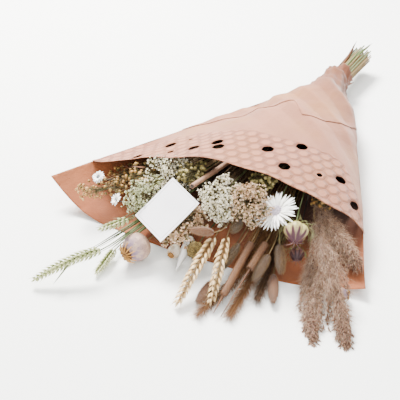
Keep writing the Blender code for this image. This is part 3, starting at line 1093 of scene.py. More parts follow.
@dataclass
class Grown:
    """One plant of the bouquet: a stem that ends in a head."""

    node: str
    slot: str = ""
    head_rings: int = 6
    stem_finish: FibreFinish = STRAW_STEM
    stem_girth: float = 0.72
    stem_tip: float = 0.00075
    knots: int = 0
    leafy: float = 0.0

    def ready(self, seed: int) -> None:
        """Read the plant's rings and start its mesh, with its own random draws."""
        self.seed = seed
        self.rng = np.random.default_rng(seed)
        centres, radii = read_rings(self.node)
        first = len(centres) - self.head_rings
        self.spine = Spine(centres[first:], radii[first:])
        self.stem_path = centres[:first + 1]
        self.stem_radius = float(np.median(radii[:3]))
        self.mesher = Mesher(self.node + "_plant")

    def grow_stem(self) -> None:
        """Grow the stem from its cut end to the head, with its knots."""
        count = 56
        path = smooth_path(self.stem_path, count)
        t = np.linspace(0, 1, count)
        foot = self.stem_radius * self.stem_girth * self.rng.uniform(0.86, 1.08)
        radii = foot + (self.stem_tip - foot) * ease((t - 0.25) / 0.75)
        radii = radii * (1 + 0.05 * np.sin(t * 37 + self.seed))
        for knot in range(self.knots):
            at = (knot + 0.5 + 0.3 * self.rng.uniform(-1, 1)) / self.knots
            radii = radii * (1 + 0.55 * np.exp(-(((t - at) / 0.008) ** 2)))
        wobble = 0.0005 * np.sin(t * 23 + self.seed)[:, None] * unit(self.rng.normal(size=(1, 3)))
        wobble *= (ease(t * 6) * ease((1 - t) * 6))[:, None] * (t > 0.3)[:, None]
        tint = float(self.rng.uniform(0.2, 0.85))
        self.mesher.tube(path + wobble, radii, 8, self.stem_finish, tint)
        if self.leafy:
            self.grow_sheath(path)

    def grow_sheath(self, path: Array) -> None:
        """Grow a dry leaf that clasps the stem and stands off its cut end."""
        back = path[9::-1]
        end = back[-1] + (back[-1] - back[-3]) * 0.9
        t = np.linspace(0, 1, 11)[:, None]
        sway = np.array((self.leafy, 0.0, 0.35 * abs(self.leafy)))
        leaf = smooth_path(np.vstack((back, end)) + sway * t**2.2 + UP * 0.0022 * ease(t * 3), 20)
        blade(self.mesher, leaf, 0.0052, 0.0006, BLADE_GREEN if self.seed % 3 else LEAF_BROWN,
              np.array((0.4, -0.3, 0.85)), 0.08)

    def grow_head(self) -> None:
        """Grow the head on its spine."""
        raise NotImplementedError

    def grow_wisps(self, count: int, spread: float, finish: Any) -> None:
        """Grow fine side twigs that leave the stem early and fan out towards the head.

        Args:
            count: How many.
            spread: How far they fan out, as a share of the head's girth.
            finish: Their finish.
        """
        path = smooth_path(self.stem_path, 60)
        roots = path[self.rng.integers(24, 46, count)]
        share = self.rng.uniform(0.0, 0.75, count)
        ends, out, _, _ = self.spine.around(share, np.arange(count) * GOLDEN_ANGLE)
        away = self.spine.girth * spread * self.rng.uniform(0.25, 1.0, count)
        ends = ends + out * away[:, None]
        t = np.linspace(0, 1, 9)
        paths = between(roots, ends, t)
        bow = (out * (away * 0.5)[:, None] - UP * 0.003) * self.rng.uniform(0.2, 1.0, (count, 1))
        paths = paths + trail(bow, np.sin(math.pi * t))
        self.mesher.strands(paths, 0.00038 * (1 - 0.5 * t), self.tints(count, 1.3), finish, 4)

    def build(self, seed: int) -> None:
        """Grow the whole plant and fix it to the bouquet.

        Args:
            seed: What its random draws start from.
        """
        self.ready(seed)
        self.grow_stem()
        self.grow_head()
        self.trim()
        settle(self.mesher.close(), self.slot, self.node)

    def trim(self) -> None:
        """Keep every part of the plant above the ground and under the card."""
        corners = np.unique(np.round(node_points("gift_card"), 6), axis=0)
        across, down, normal = np.linalg.svd(corners - corners.mean(0))[2]
        normal = normal * np.sign(normal[2])
        reach = [np.abs((corners - corners.mean(0)) @ axis).max() + 0.001 for axis in (across, down)]
        for points in self.mesher.points:
            off = points - corners.mean(0)
            high = off @ normal
            under = (np.abs(off @ across) < reach[0]) & (np.abs(off @ down) < reach[1]) & (high < 0.040)
            sink = under & (high > -0.002)
            points[sink] -= normal * (high[sink] + 0.002 + 0.1 * (high[sink] + 0.002))[:, None]
            low = points[:, 2] < 0.0004
            points[low, 2] = 0.0004 + 0.0003 * np.tanh(np.maximum(points[low, 2], -0.02) * 40 + 1)

    def tints(self, count: int, spread: float = 1.0) -> Array:
        """Draw a tint for each of many parts."""
        return np.clip(0.5 + spread * self.rng.normal(0, 0.24, count), 0.02, 0.98)

    def scatter(self, directions: Array, spread: float) -> Array:
        """Turn each direction a little at random."""
        return unit(directions + self.rng.normal(0, spread, directions.shape))

    def hairs(self, roots: Array, directions: Array, lengths: Array, radius: float, droop: float,
              finish: Any, steps: int = 3) -> None:
        """Grow fine curved hairs.

        Args:
            roots: Where they start.
            directions: Where they point.
            lengths: How long they are.
            radius: Their radius at the root.
            droop: How much they bend over, as a share of their length.
            finish: Their finish.
            steps: Points along each.
        """
        count = len(roots)
        t = np.linspace(0, 1, steps)
        sway = unit(self.rng.normal(size=(count, 3)))
        bend = (sway * 0.6 - UP * 0.8) * droop
        paths = roots[:, None] + lengths[:, None, None] * (
            trail(directions, t) + trail(bend, t**2))
        self.mesher.strands(paths, radius * (1 - 0.93 * t**1.5), self.tints(count), finish)


# ---- the paper sleeve --------------------------------------------------------------------------


class Side(Enum):
    """The two sheets of the sleeve."""

    FRONT = "front"
    BACK = "back"


@dataclass
class SleeveShape:
    """The smooth surfaces of the wrapped sleeve, before it is crumpled."""

    neck_y: float = 0.262
    shoulder_y: float = 0.140
    neck_half_width: float = 0.0185
    shoulder_half_width: float = 0.061
    flare: float = 0.475
    seam: float = 0.042
    neck_seam: float = 0.031
    neck_floor: float = 0.0125
    neck_top: float = 0.050
    shoulder_top: float = 0.074
    mouth_top: float = 0.110
    mouth_y: float = -0.150
    shoulder_x: float = 0.005
    neck_x: float = -0.006
    tent: tuple[float, float] = (1.6, 1.3)
    dome: tuple[float, float] = (2.2, 0.75)
    flat: float = 0.55
    neck_flat: float = 0.10
    front_edge: tuple[float, float, float] = (-0.151, 0.022, 0.027)
    back_edge: tuple[float, float, float] = (-0.209, 0.0153, 0.0218)
    corner_y: float = -0.172
    sag_start_y: float = -0.060
    corner_height: float = 0.014
    shift: tuple[float, float] = (0.0038, -0.0036)

    def gather(self, y: Array) -> Array:
        """Share of the gathering into the neck that has happened at y."""
        return (y - self.shoulder_y) / (self.neck_y - self.shoulder_y)

    def blend(self, start: Any, end: Any, y: Array) -> Array:
        """Ease from the shoulder's value to the neck's."""
        return start + (end - start) * ease(self.gather(y))

    def half_width(self, y: Array) -> Array:
        """Half width at y: a straight flare, gathered in towards the neck."""
        cone = self.shoulder_half_width + self.flare * (self.shoulder_y - y)
        share = np.clip(self.gather(y), 0.0, 1.0)
        neck = self.shoulder_half_width + (self.neck_half_width - self.shoulder_half_width) * np.sin(
            share * math.pi / 2)
        return np.where(y <= self.shoulder_y, cone, neck)

    def middle(self, y: Array) -> Array:
        """Sideways place of the sleeve's middle."""
        cone = self.shoulder_x * np.clip((y - self.mouth_y) / (self.shoulder_y - self.mouth_y), 0.0, None)
        return np.where(y <= self.shoulder_y, cone, self.blend(self.shoulder_x, self.neck_x, y))

    def seam_height(self, u: Array, y: Array) -> Array:
        """Height of the side fold."""
        height = self.blend(self.seam, self.neck_seam, y)
        sag = ease((self.sag_start_y - y) / (self.sag_start_y - self.corner_y))
        return np.where(u > 0, height + (self.corner_height - height) * sag, height)

    def crest(self, y: Array) -> Array:
        """Height of the front sheet's crest."""
        share = (y - self.mouth_y) / (self.shoulder_y - self.mouth_y)
        cone = self.mouth_top + (self.shoulder_top - self.mouth_top) * share
        return np.where(y <= self.shoulder_y, cone, self.blend(self.shoulder_top, self.neck_top, y))

    def point(self, sheet: Side, u: Array, y: Array) -> Array:
        """Place a point of a sheet in space.

        Args:
            sheet: Which sheet.
            u: Place across, -1 to 1.
            y: Place along.

        Returns:
            The points.
        """
        inner = np.clip(u, -1.0, 1.0)
        fold = self.seam_height(inner, y)
        if sheet is Side.FRONT:
            spread = np.where(u < 0, self.blend(self.tent[0], self.dome[0], y), self.dome[0])
            fullness = np.where(u < 0, self.blend(self.tent[1], self.dome[1], y), self.dome[1])
            arch = np.clip(1 - np.abs(inner) ** spread, 0.0, None) ** fullness
            z = fold + (self.crest(y) - fold) * arch
        else:
            flat = self.blend(self.flat, self.neck_flat, y)
            floor = self.neck_floor * ease(self.gather(y))
            rise = np.clip(np.abs(inner) - flat, 0.0, None) / (1 - flat)
            z = floor + (fold - floor) * rise**2
        x = self.middle(y) + self.half_width(y) * inner
        return np.stack((x + self.shift[0], y + self.shift[1], z), axis=-1)

    def edge(self, sheet: Side, u: Array) -> Array:
        """Where the sheet's mouth edge lies along the sleeve."""
        middle, tilt, sweep = self.front_edge if sheet is Side.FRONT else self.back_edge
        return middle + tilt * u + sweep * u * u


@dataclass
class Crumple:
    """Creases of handled paper: folds in set directions and pleats where it is gathered."""

    seed: int = 7
    folds: int = 9
    fold_pitch: float = 0.075
    fold_height: float = 0.0046
    pleats: float = 15.0
    pleat_height: float = 0.0024

    def height(self, across: Array, y: Array, gathered: Array) -> Array:
        """Height of the creased sheet over its smooth shape.

        Args:
            across: Distance across the sheet.
            y: Distance along the sleeve.
            gathered: Share of gathering at each point.

        Returns:
            The height in metres.
        """
        rng = np.random.default_rng(self.seed)
        height = np.zeros_like(across)
        calm = 0.22 + 0.78 * ease((y + 0.02) / 0.09)
        for _ in range(self.folds):
            turn, phase = rng.uniform(0, math.pi), rng.uniform(0, 1)
            pitch = self.fold_pitch * rng.uniform(0.6, 1.7)
            wave = (across * math.cos(turn) + y * math.sin(turn)) / pitch + phase
            height += (np.abs((wave % 1.0) - 0.5) * 2 - 0.5) * self.fold_height * rng.uniform(0.3, 1.0) * calm
        near = ease(gathered * 1.25 + 0.45)
        bearing = across / (0.030 + 0.11 * np.clip(1 - gathered, 0, 2))
        ridge = np.abs(((bearing * self.pleats / 3.2 + 0.5 * np.sin(y * 27) + 0.2) % 1.0) - 0.5) * 2 - 0.5
        cross = np.abs(((y / 0.019 + 0.8 * np.sin(bearing * 2.3)) % 1.0) - 0.5) * 2 - 0.5
        return height + ridge * self.pleat_height * near + cross * 0.0010 * ease(gathered * 1.6 - 0.2)


@dataclass
class Sleeve:
    """The kraft sleeve: two creased sheets, the flap that closes it and its honeycomb band."""

    shape: SleeveShape = field(default_factory=SleeveShape)
    crumple: Crumple = field(default_factory=Crumple)
    pitch: float = 0.0027
    thickness: float = 0.0005
    band: tuple[tuple[float, float], ...] = (
        (-1.0, 0.075), (-0.83, 0.085), (-0.55, 0.105), (0.68, 0.105), (0.82, 0.095), (0.92, 0.067),
        (0.98, 0.02),)
    open_cells: tuple[tuple[float, float, float], ...] = (
        (-10, 1, 1.0), (-7, -1, 1.0), (-7, 1, 0.6), (-5.2, -2, 0.45), (-5, 1, 1.0), (-3, 0, 1.0),
        (-3, 1, 1.0), (1, 0, 1.0), (4, -2, 1.0), (2, 2, 1.0), (5, 1, 0.5), (7, 0, 1.0), (8, 2, 0.95),)
    firmness: float = 0.58
    rim_flare: float = 0.0044
    rim_length: float = 0.012
    collar: float = 0.0036
    flap_lift: float = 0.0006
    flap: tuple[tuple[float, float], ...] = (
        (-1.0, -0.0165), (-0.673, 0.031), (-0.362, 0.048), (-0.078, 0.0758), (0.203, 0.039), (0.432, 0.0475),
        (0.780, 0.0748), (0.918, 0.0933), (1.0, 0.105),
    )

    def half_lengths(self, sheet: Side) -> tuple[Array, Array, Array]:
        """Measure the sheet across its curve.

        Args:
            sheet: Which sheet.

        Returns:
            The rows' y, the curve's distance from the middle at each u, and the u's.
        """
        ys = np.linspace(-0.215, self.shape.neck_y, 90)
        us = np.linspace(-1.0, 1.0, 241)
        grid_u, grid_y = np.meshgrid(us, ys)
        points = self.shape.point(sheet, grid_u, grid_y)[..., [0, 2]]
        steps = np.linalg.norm(np.diff(points, axis=1), axis=2)
        walked = np.concatenate((np.zeros((len(ys), 1)), np.cumsum(steps, axis=1)), axis=1)
        return ys, walked - walked[:, 120:121], us

    def across(self, sheet: Side, u: Array, y: Array) -> Array:
        """Distance across the sheet's curve from its middle."""
        ys, walked, us = self.half_lengths(sheet)
        row = np.clip((y - ys[0]) / (ys[1] - ys[0]), 0, len(ys) - 1.001)
        column = np.clip((np.clip(u, -1, 1) - us[0]) / (us[1] - us[0]), 0, len(us) - 1.001)
        r, c = row.astype(int), column.astype(int)
        fr, fc = row - r, column - c
        low = walked[r, c] * (1 - fc) + walked[r, c + 1] * fc
        high = walked[r + 1, c] * (1 - fc) + walked[r + 1, c + 1] * fc
        return low * (1 - fr) + high * fr

    def from_across(self, sheet: Side, across: Array, y: Array) -> Array:
        """Turn a distance across the sheet's curve back into u."""
        low, high = np.full_like(across, -1.0), np.full_like(across, 1.0)
        for _ in range(22):
            middle = (low + high) / 2
            over = self.across(sheet, middle, y) > across
            high, low = np.where(over, middle, high), np.where(over, low, middle)
        return (low + high) / 2

    def cut_sheet(self, sheet: Side, lowest: Callable[[Array], Array],
                  holes: Sequence[Array]) -> tuple[Array, Array, Array]:
        """Cut a flat sheet to its outline and holes and mesh it.

        Args:
            sheet: Which sheet it follows.
            lowest: The mouth edge's y at each u.
            holes: Outlines of the holes, in distance across and along.

        Returns:
            u, y and the triangles.
        """
        top = self.shape.neck_y
        u_edge = np.linspace(-1, 1, 130)
        y_side = np.linspace(0, 1, 110)[1:-1]
        rim_u = np.linspace(-1, 1, 40)
        left = lowest(np.array([-1.0]))[0] + (top - lowest(np.array([-1.0]))[0]) * y_side
        right = lowest(np.array([1.0]))[0] + (top - lowest(np.array([1.0]))[0]) * y_side
        loop_u = np.concatenate((u_edge, np.ones_like(right), rim_u[::-1], -np.ones_like(left)))
        loop_y = np.concatenate((lowest(u_edge), right, np.full_like(rim_u, top), left[::-1]))
        outline = np.stack((self.across(sheet, loop_u, loop_y), loop_y), axis=1)
        low = outline.min(0)
        high = outline.max(0)
        gx, gy = np.meshgrid(np.arange(low[0], high[0], self.pitch),
                             np.arange(low[1], high[1], self.pitch * 0.87))
        gx = gx + (np.arange(len(gx)) % 2)[:, None] * self.pitch / 2
        inner = np.stack((gx.ravel(), gy.ravel()), axis=1)
        u = self.from_across(sheet, inner[:, 0], inner[:, 1])
        limit = self.across(sheet, np.sign(inner[:, 0]), inner[:, 1])
        room = self.pitch * 0.45
        keep = (np.abs(inner[:, 0]) < np.abs(limit) - room) & (inner[:, 1] > lowest(u) + room)
        keep &= inner[:, 1] < top - room
        for hole in holes:
            centre = hole.mean(0)
            reach = np.linalg.norm(hole - centre, axis=1).max()
            keep &= np.linalg.norm(inner - centre, axis=1) > reach + room * 0.6
        inner = inner[keep]
        points = [outline, *holes, inner]
        edges, start = [], 0
        for loop in points[:-1]:
            edges += [(start + i, start + (i + 1) % len(loop)) for i in range(len(loop))]
            start += len(loop)
        flat = np.vstack(points)
        made = delaunay_2d_cdt([Vector(p) for p in flat.tolist()], edges, [], 1, 1e-6)
        flat = np.array([tuple(v) for v in made[0]])
        faces = np.array([f for f in made[2] if len(f) == 3])
        centres = flat[faces].mean(1)
        keep_face = np.ones(len(faces), bool)
        for hole in holes:
            edge = np.roll(hole, -1, axis=0) - hole
            off = centres[:, None] - hole[None]
            turn = edge[None, :, 0] * off[..., 1] - edge[None, :, 1] * off[..., 0]
            keep_face &= ~(np.all(turn > 0, axis=1) | np.all(turn < 0, axis=1))
        y = flat[:, 1]
        return self.from_across(sheet, flat[:, 0], y), y, faces[keep_face]

    def raise_sheet(self, name: str, sheet: Side, u: Array, y: Array, faces: Array, lift: Array, outside: Any,
                    inside: Any) -> bpy.types.Object:
        """Bend a flat cut sheet into shape, crease it, mark the painted shade of its crease facets and give
        it thickness.

        Args:
            name: The piece's name.
            sheet: Which surface it follows.
            u: Place across of each point.
            y: Place along of each point.
            faces: Its triangles.
            lift: How far each point stands off the surface.
            outside: The outer finish.
            inside: The inner finish.

        Returns:
            The piece.
        """
        shape = self.shape
        points = shape.point(sheet, u, y)
        sign = 1.0 if sheet is Side.FRONT else -1.0
        step = 0.0015
        inner = np.clip(u, -0.985, 0.985)
        da = shape.point(sheet, inner + step, y) - shape.point(sheet, inner - step, y)
        db = shape.point(sheet, inner, y + step) - shape.point(sheet, inner, y - step)
        normals = unit(np.cross(da, db)) * sign
        across = self.across(sheet, u, y)
        gathered = shape.gather(y)
        crease = self.crumple.height(across, y, gathered)
        near_fold = ease((1 - np.abs(u)) / 0.06)
        rim = ease((y - (shape.neck_y - self.rim_length)) / self.rim_length)
        wave = 1 + 0.6 * np.sin(u * 5.0 + (0.0 if sheet is Side.FRONT else 1.7))
        collar = np.exp(-(((y - shape.neck_y + 0.027) / 0.007) ** 2)) * self.collar * (
            1 + 0.5 * np.sin(u * 4 + 1))
        roll = rim * self.rim_flare * wave + collar
        rise = lift + crease * (self.firmness + (1 - self.firmness) * near_fold) + roll
        if sheet is Side.BACK:
            rise = -np.abs(crease) * 0.5 * near_fold + roll
        points = points + normals * rise[:, None]
        if sheet is Side.BACK:
            points[:, 2] = np.maximum(points[:, 2], 0.00008)
        data = bpy.data.meshes.new(name)
        ordered = faces if sheet is Side.FRONT else faces[:, ::-1]
        data.from_pydata(points.tolist(), [], ordered.tolist())
        data.polygons.foreach_set("use_smooth", np.ones(len(faces), bool))
        band_u, band_depth = np.array(self.band).T
        band = (y - shape.edge(Side.FRONT, u)) / np.interp(u, band_u, band_depth)
        # Painted facet shade: the crease attribute is each facet's slope in one fixed direction, which the
        # paper finish darkens.
        slope = self.crumple.height(across + 0.004, y + 0.003, gathered) - crease
        fold = 0.5 + slope / self.crumple.fold_height * 1.5
        for key, painted in (("across", across), ("down", y), ("band", band), ("crease", fold)):
            data.attributes.new(key, "FLOAT", "POINT").data.foreach_set("value", painted)
        data.materials.append(KIT.of(outside))
        data.materials.append(KIT.of(inside))
        data.update()
        piece = put(name, data)
        shell = piece.modifiers.new("paper", "SOLIDIFY")
        shell.thickness = self.thickness
        shell.offset = -1.0
        shell.material_offset = 1
        shell.use_even_offset = False
        return piece

    def build(self) -> None:
        """Build the two sheets and the flap."""
        shape = self.shape
        holes = [HONEYCOMB.outline(*cell) for cell in self.open_cells]
        u, y, faces = self.cut_sheet(
            Side.FRONT,
            lambda a: shape.edge(Side.FRONT, a) + 0.0012 * np.sin(a * 9.0) + 0.0008 * np.sin(a * 23.0),
            holes,
        )
        curl = 0.0016 * ease(1 - (y - shape.edge(Side.FRONT, u)) / 0.012)
        front = self.raise_sheet("sleeve_front_paper", Side.FRONT, u, y, faces, curl, BAND_PAPER, INNER_PAPER)
        settle(front, "kraft_paper", "sleeve_front_sheet")
        u, y, faces = self.cut_sheet(
            Side.BACK, lambda a: shape.edge(Side.BACK, a) + 0.0007 * np.sin(a * 11.0), [])
        back = self.raise_sheet(
            "sleeve_back_paper", Side.BACK, u, y, faces, np.zeros_like(u), OUTER_PAPER, INNER_PAPER)
        settle(back, "kraft_paper", "sleeve_back_sheet")
        self.build_flap()

    def build_flap(self) -> None:
        """Build the flap that laps over the front sheet and closes the sleeve."""
        edge_u = np.array([p[0] for p in self.flap])
        edge_y = np.array([p[1] for p in self.flap])

        def lowest(a: Array) -> Array:
            """Free edge of the flap at each u."""
            return np.interp(a, edge_u, edge_y)

        u, y, faces = self.cut_sheet(Side.FRONT, lowest, [])
        from_edge = y - lowest(u)
        lift = self.flap_lift + 0.0005 * ease(1 - from_edge / 0.007)
        flap = self.raise_sheet("sleeve_flap_paper", Side.FRONT, u, y, faces, lift, OUTER_PAPER, OUTER_PAPER)
        settle(flap, "kraft_paper", "sleeve_front_sheet")


# ---- the gift card and the tie -----------------------------------------------------------------


@dataclass
class GiftCard:
    """The blank white card that lies on the flowers, with a pressed border line."""

    border: float = 0.0034
    groove: float = 0.0011
    press: float = 0.00045
    bend: float = 0.0012
    thickness: float = 0.00045

    def lines(self, length: float) -> Array:
        """Places of the grid lines across one side, close together at the border."""
        near = [0.0, 0.0004, self.border - self.groove, self.border - self.groove * 0.5, self.border,
                self.border + 0.0004]
        middle = np.linspace(near[-1], length - near[-1], 14)[1:-1]
        return np.concatenate((near, middle, length - np.array(near[::-1]))) - length / 2

    def build(self) -> None:
        """Build the card on its frame node."""
        corners = np.unique(np.round(node_points("gift_card"), 6), axis=0)
        centre = corners.mean(0)
        spread = np.linalg.svd(corners - centre)[2]
        down, across = spread[0], spread[1]
        across = across if across[0] > 0 else -across
        down = down if down[1] < 0 else -down
        normal = np.cross(down, across)
        if normal[2] < 0:
            normal = -normal
        reach = [np.ptp((corners - centre) @ axis) for axis in (across, down)]
        a, b = self.lines(reach[0]), self.lines(reach[1])
        ga, gb = np.meshgrid(a, b, indexing="ij")
        from_rim = np.minimum(reach[0] / 2 - np.abs(ga), reach[1] / 2 - np.abs(gb))
        inside = np.abs(from_rim - (self.border - self.groove * 0.5)) < self.groove * 0.3
        arch = self.bend * ((gb / reach[1] * 2) ** 2 - 0.33) + 0.4 * self.bend * (ga / reach[0] * 2) ** 3
        height = arch - self.press * inside
        points = centre + ga[..., None] * across + gb[..., None] * down + height[..., None] * normal
        index = np.arange(ga.size).reshape(ga.shape)
        faces = np.stack((index[:-1, :-1], index[1:, :-1], index[1:, 1:], index[:-1, 1:]), -1).reshape(-1, 4)
        if np.dot(np.cross(across, down), normal) < 0:
            faces = faces[:, ::-1]
        data = bpy.data.meshes.new("card_blank")
        data.from_pydata(points.reshape(-1, 3).tolist(), [], faces.tolist())
        # The groove mask, which the card finish darkens as painted shade.
        data.attributes.new("press", "FLOAT", "POINT").data.foreach_set("value", inside.ravel().astype(float))
        data.materials.append(KIT.of(CARD_STOCK))
        piece = put("card_blank", data)
        shell = piece.modifiers.new("card", "SOLIDIFY")
        shell.thickness, shell.offset = self.thickness, -1.0
        settle(piece, "card_stock", "gift_card")


@dataclass
class StemTie:
    """Twisted twine wound round the stems inside the neck."""

    turns: int = 5
    ply_radius: float = 0.00075
    plies: int = 3
    twists_per_turn: int = 22

    def build(self) -> None:
        """Wind the twine on its frame node."""
        low, high = (np.array(c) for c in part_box("stem_tie"))
        centre = (low + high) / 2
        radius = (high[0] - low[0]) / 2 - self.ply_radius * 2
        width = (high[1] - low[1]) - self.ply_radius * 3
        steps = self.turns * 90
        t = np.linspace(0, 1, steps)
        angle = t * self.turns * 2 * math.pi
        core = np.stack((np.cos(angle) * radius, (t - 0.5) * width, np.sin(angle) * radius), axis=1) + centre
        out = np.stack((np.cos(angle), np.zeros(steps), np.sin(angle)), axis=1)
        mesher = Mesher("twine_tie")
        for ply in range(self.plies):
            twist = angle * self.twists_per_turn + ply * 2 * math.pi / self.plies
            path = core + out * (np.cos(twist) * self.ply_radius)[:, None]
            path[:, 1] += np.sin(twist) * self.ply_radius
            mesher.tube(path, np.full(steps, self.ply_radius), 6, TWINE, 0.35 + 0.15 * ply)
        settle(mesher.close(), "binding_twine", "stem_tie")


# ---- the studio --------------------------------------------------------------------------------


@dataclass
class Studio:
    """Pale floor, soft lights and the camera."""

    floor_size: float = 9.0
    target: tuple[float, float, float] = (-0.0512, -0.1036, 0.0)
    distance: float = 1.2
    elevation: float = 36.0
    azimuth: float = 30.0
    lens: float = 80.0

    def build(self) -> None:
        """Lay the floor, hang the lights and set the camera."""
        self.lay_floor()
        self.light("key_light", (-0.9, 0.55, 1.5), 0.7, 215.0, (1.0, 0.985, 0.96))
        self.light("fill_light", (0.9, -1.3, 1.2), 1.4, 34.0, (0.97, 0.98, 1.0))
        self.light("top_light", (0.1, 0.0, 1.9), 1.2, 36.0, (1.0, 0.99, 0.98))
        world = bpy.data.worlds.new("pale_room")
        world.use_nodes = True
        world.node_tree.nodes["Background"].inputs["Color"].default_value = (0.93, 0.94, 0.96, 1.0)
        world.node_tree.nodes["Background"].inputs["Strength"].default_value = 0.95
        bpy.context.scene.world = world
        self.set_camera()

    def lay_floor(self) -> None:
        """Lay the floor as one large plain sheet."""
        half = self.floor_size / 2
        data = bpy.data.meshes.new("studio_floor")
        data.from_pydata([(-half, -half, 0), (half, -half, 0), (half, half, 0), (-half, half, 0)], [],
                         [(0, 1, 2, 3)])
        shader = Shader("studio_floor")
        colour = shader.mix(shader.noise(2.0, 2.0) * 0.1, "f8f9f5", "f5f6f3")
        data.materials.append(shader.surface(colour, 0.9, None, 0.0, {"Specular IOR Level": 0.1}))
        put("studio_floor", data)

    def light(self, name: str, place: tuple[float, float, float], size: float, power: float,
              colour: tuple[float, float, float]) -> None:
        """Hang a square soft light that faces the bouquet.

        Args:
            name: Its name.
            place: Where it hangs.
            size: Its side.
            power: Its power in watts.
            colour: Its colour.
        """
        data = bpy.data.lights.new(name, "AREA")
        data.size, data.energy, data.color = size, power, colour
        lamp = put(name, data)
        lamp.location = place
        lamp.rotation_euler = (Vector(self.target) - Vector(place)).to_track_quat("-Z", "Y").to_euler()

    def set_camera(self) -> None:
        """Stand the camera over the flower heads."""
        e, a = math.radians(self.elevation), math.radians(self.azimuth)
        back = Vector((math.sin(a) * math.cos(e), -math.cos(a) * math.cos(e), math.sin(e)))
        data = bpy.data.cameras.new("camera")
        data.lens, data.sensor_width = self.lens, 36.0
        camera = put("camera", data)
        camera.location = Vector(self.target) + back * self.distance
        camera.rotation_euler = (-back).to_track_quat("-Z", "Y").to_euler()
        bpy.context.scene.camera = camera


# ---- heads -------------------------------------------------------------------------------------


def petal_form(broad: float, point: float, cup: float, rows: int = 6, columns: int = 5) -> Form:
    """Shape a petal one unit long.

    Args:
        broad: Half width at its broadest.
        point: How sharply it ends; larger is sharper.
        cup: How far its sides and tip lift.
        rows: Steps along.
        columns: Steps across.

    Returns:
        The form.
    """
    return sheet_form(
        lambda t: 0.01 + broad * np.clip(
            np.sin(math.pi * np.clip(0.08 + 0.92 * t, 0, 1)), 0.0, 1) ** (0.6 * point),
        lambda t, u: cup * (t**2 + 0.5 * broad * u**2), rows, columns)


def rosette_form(petals: int, petal: Form, lean: float) -> Form:
    """Set petals in a ring round the growth axis.

    Args:
        petals: How many.
        petal: The petal.
        lean: How far each leans out from the axis, in radians.

    Returns:
        The flower as one form.
    """
    points, faces = [], []
    for i in range(petals):
        angle = i * 2 * math.pi / petals
        out = np.array((math.cos(angle), math.sin(angle), 0.0))
        along = out * math.sin(lean) + UP * math.cos(lean)
        basis = facing(along, np.cross(UP, out))
        points.append(petal.points @ basis + out * 0.06)
        faces.append(petal.faces + i * len(petal.points))
    return Form(
        np.vstack(points), np.vstack(faces), np.tile(petal.along, petals), np.tile(petal.side, petals))


HUSK_FORM = lathe_form(
    [(0, .03), (.07, .11), (.22, .19), (.45, .21), (.68, .16), (.86, .08), (1, .01)], 7, 0.8)
SEED_FORM = lathe_form([(0, .04), (.25, .16), (.55, .17), (.8, .09), (1, .01)], 5, 0.8)
POD_FORM = lathe_form([(0, .10), (.05, .26), (.18, .44), (.38, .55), (.58, .52), (.76, .34), (.88, .14),
                       (1, .03), (1.14, .01)], 9)
KNOB_FORM = lathe_form([(0, .28), (.4, .32), (.75, .42), (.92, .34), (1, .02)], 5)
CUP_FORM = lathe_form([(0, .06), (.3, .20), (.7, .34), (1, .52), (.9, .30), (.7, .02)], 7)
BLOSSOM_FORM = rosette_form(5, petal_form(0.36, 0.55, 0.35, 3, 3), 0.95)
CALYX_FORM = lathe_form([(0, .10), (.35, .26), (.8, .30), (1, .04)], 5)


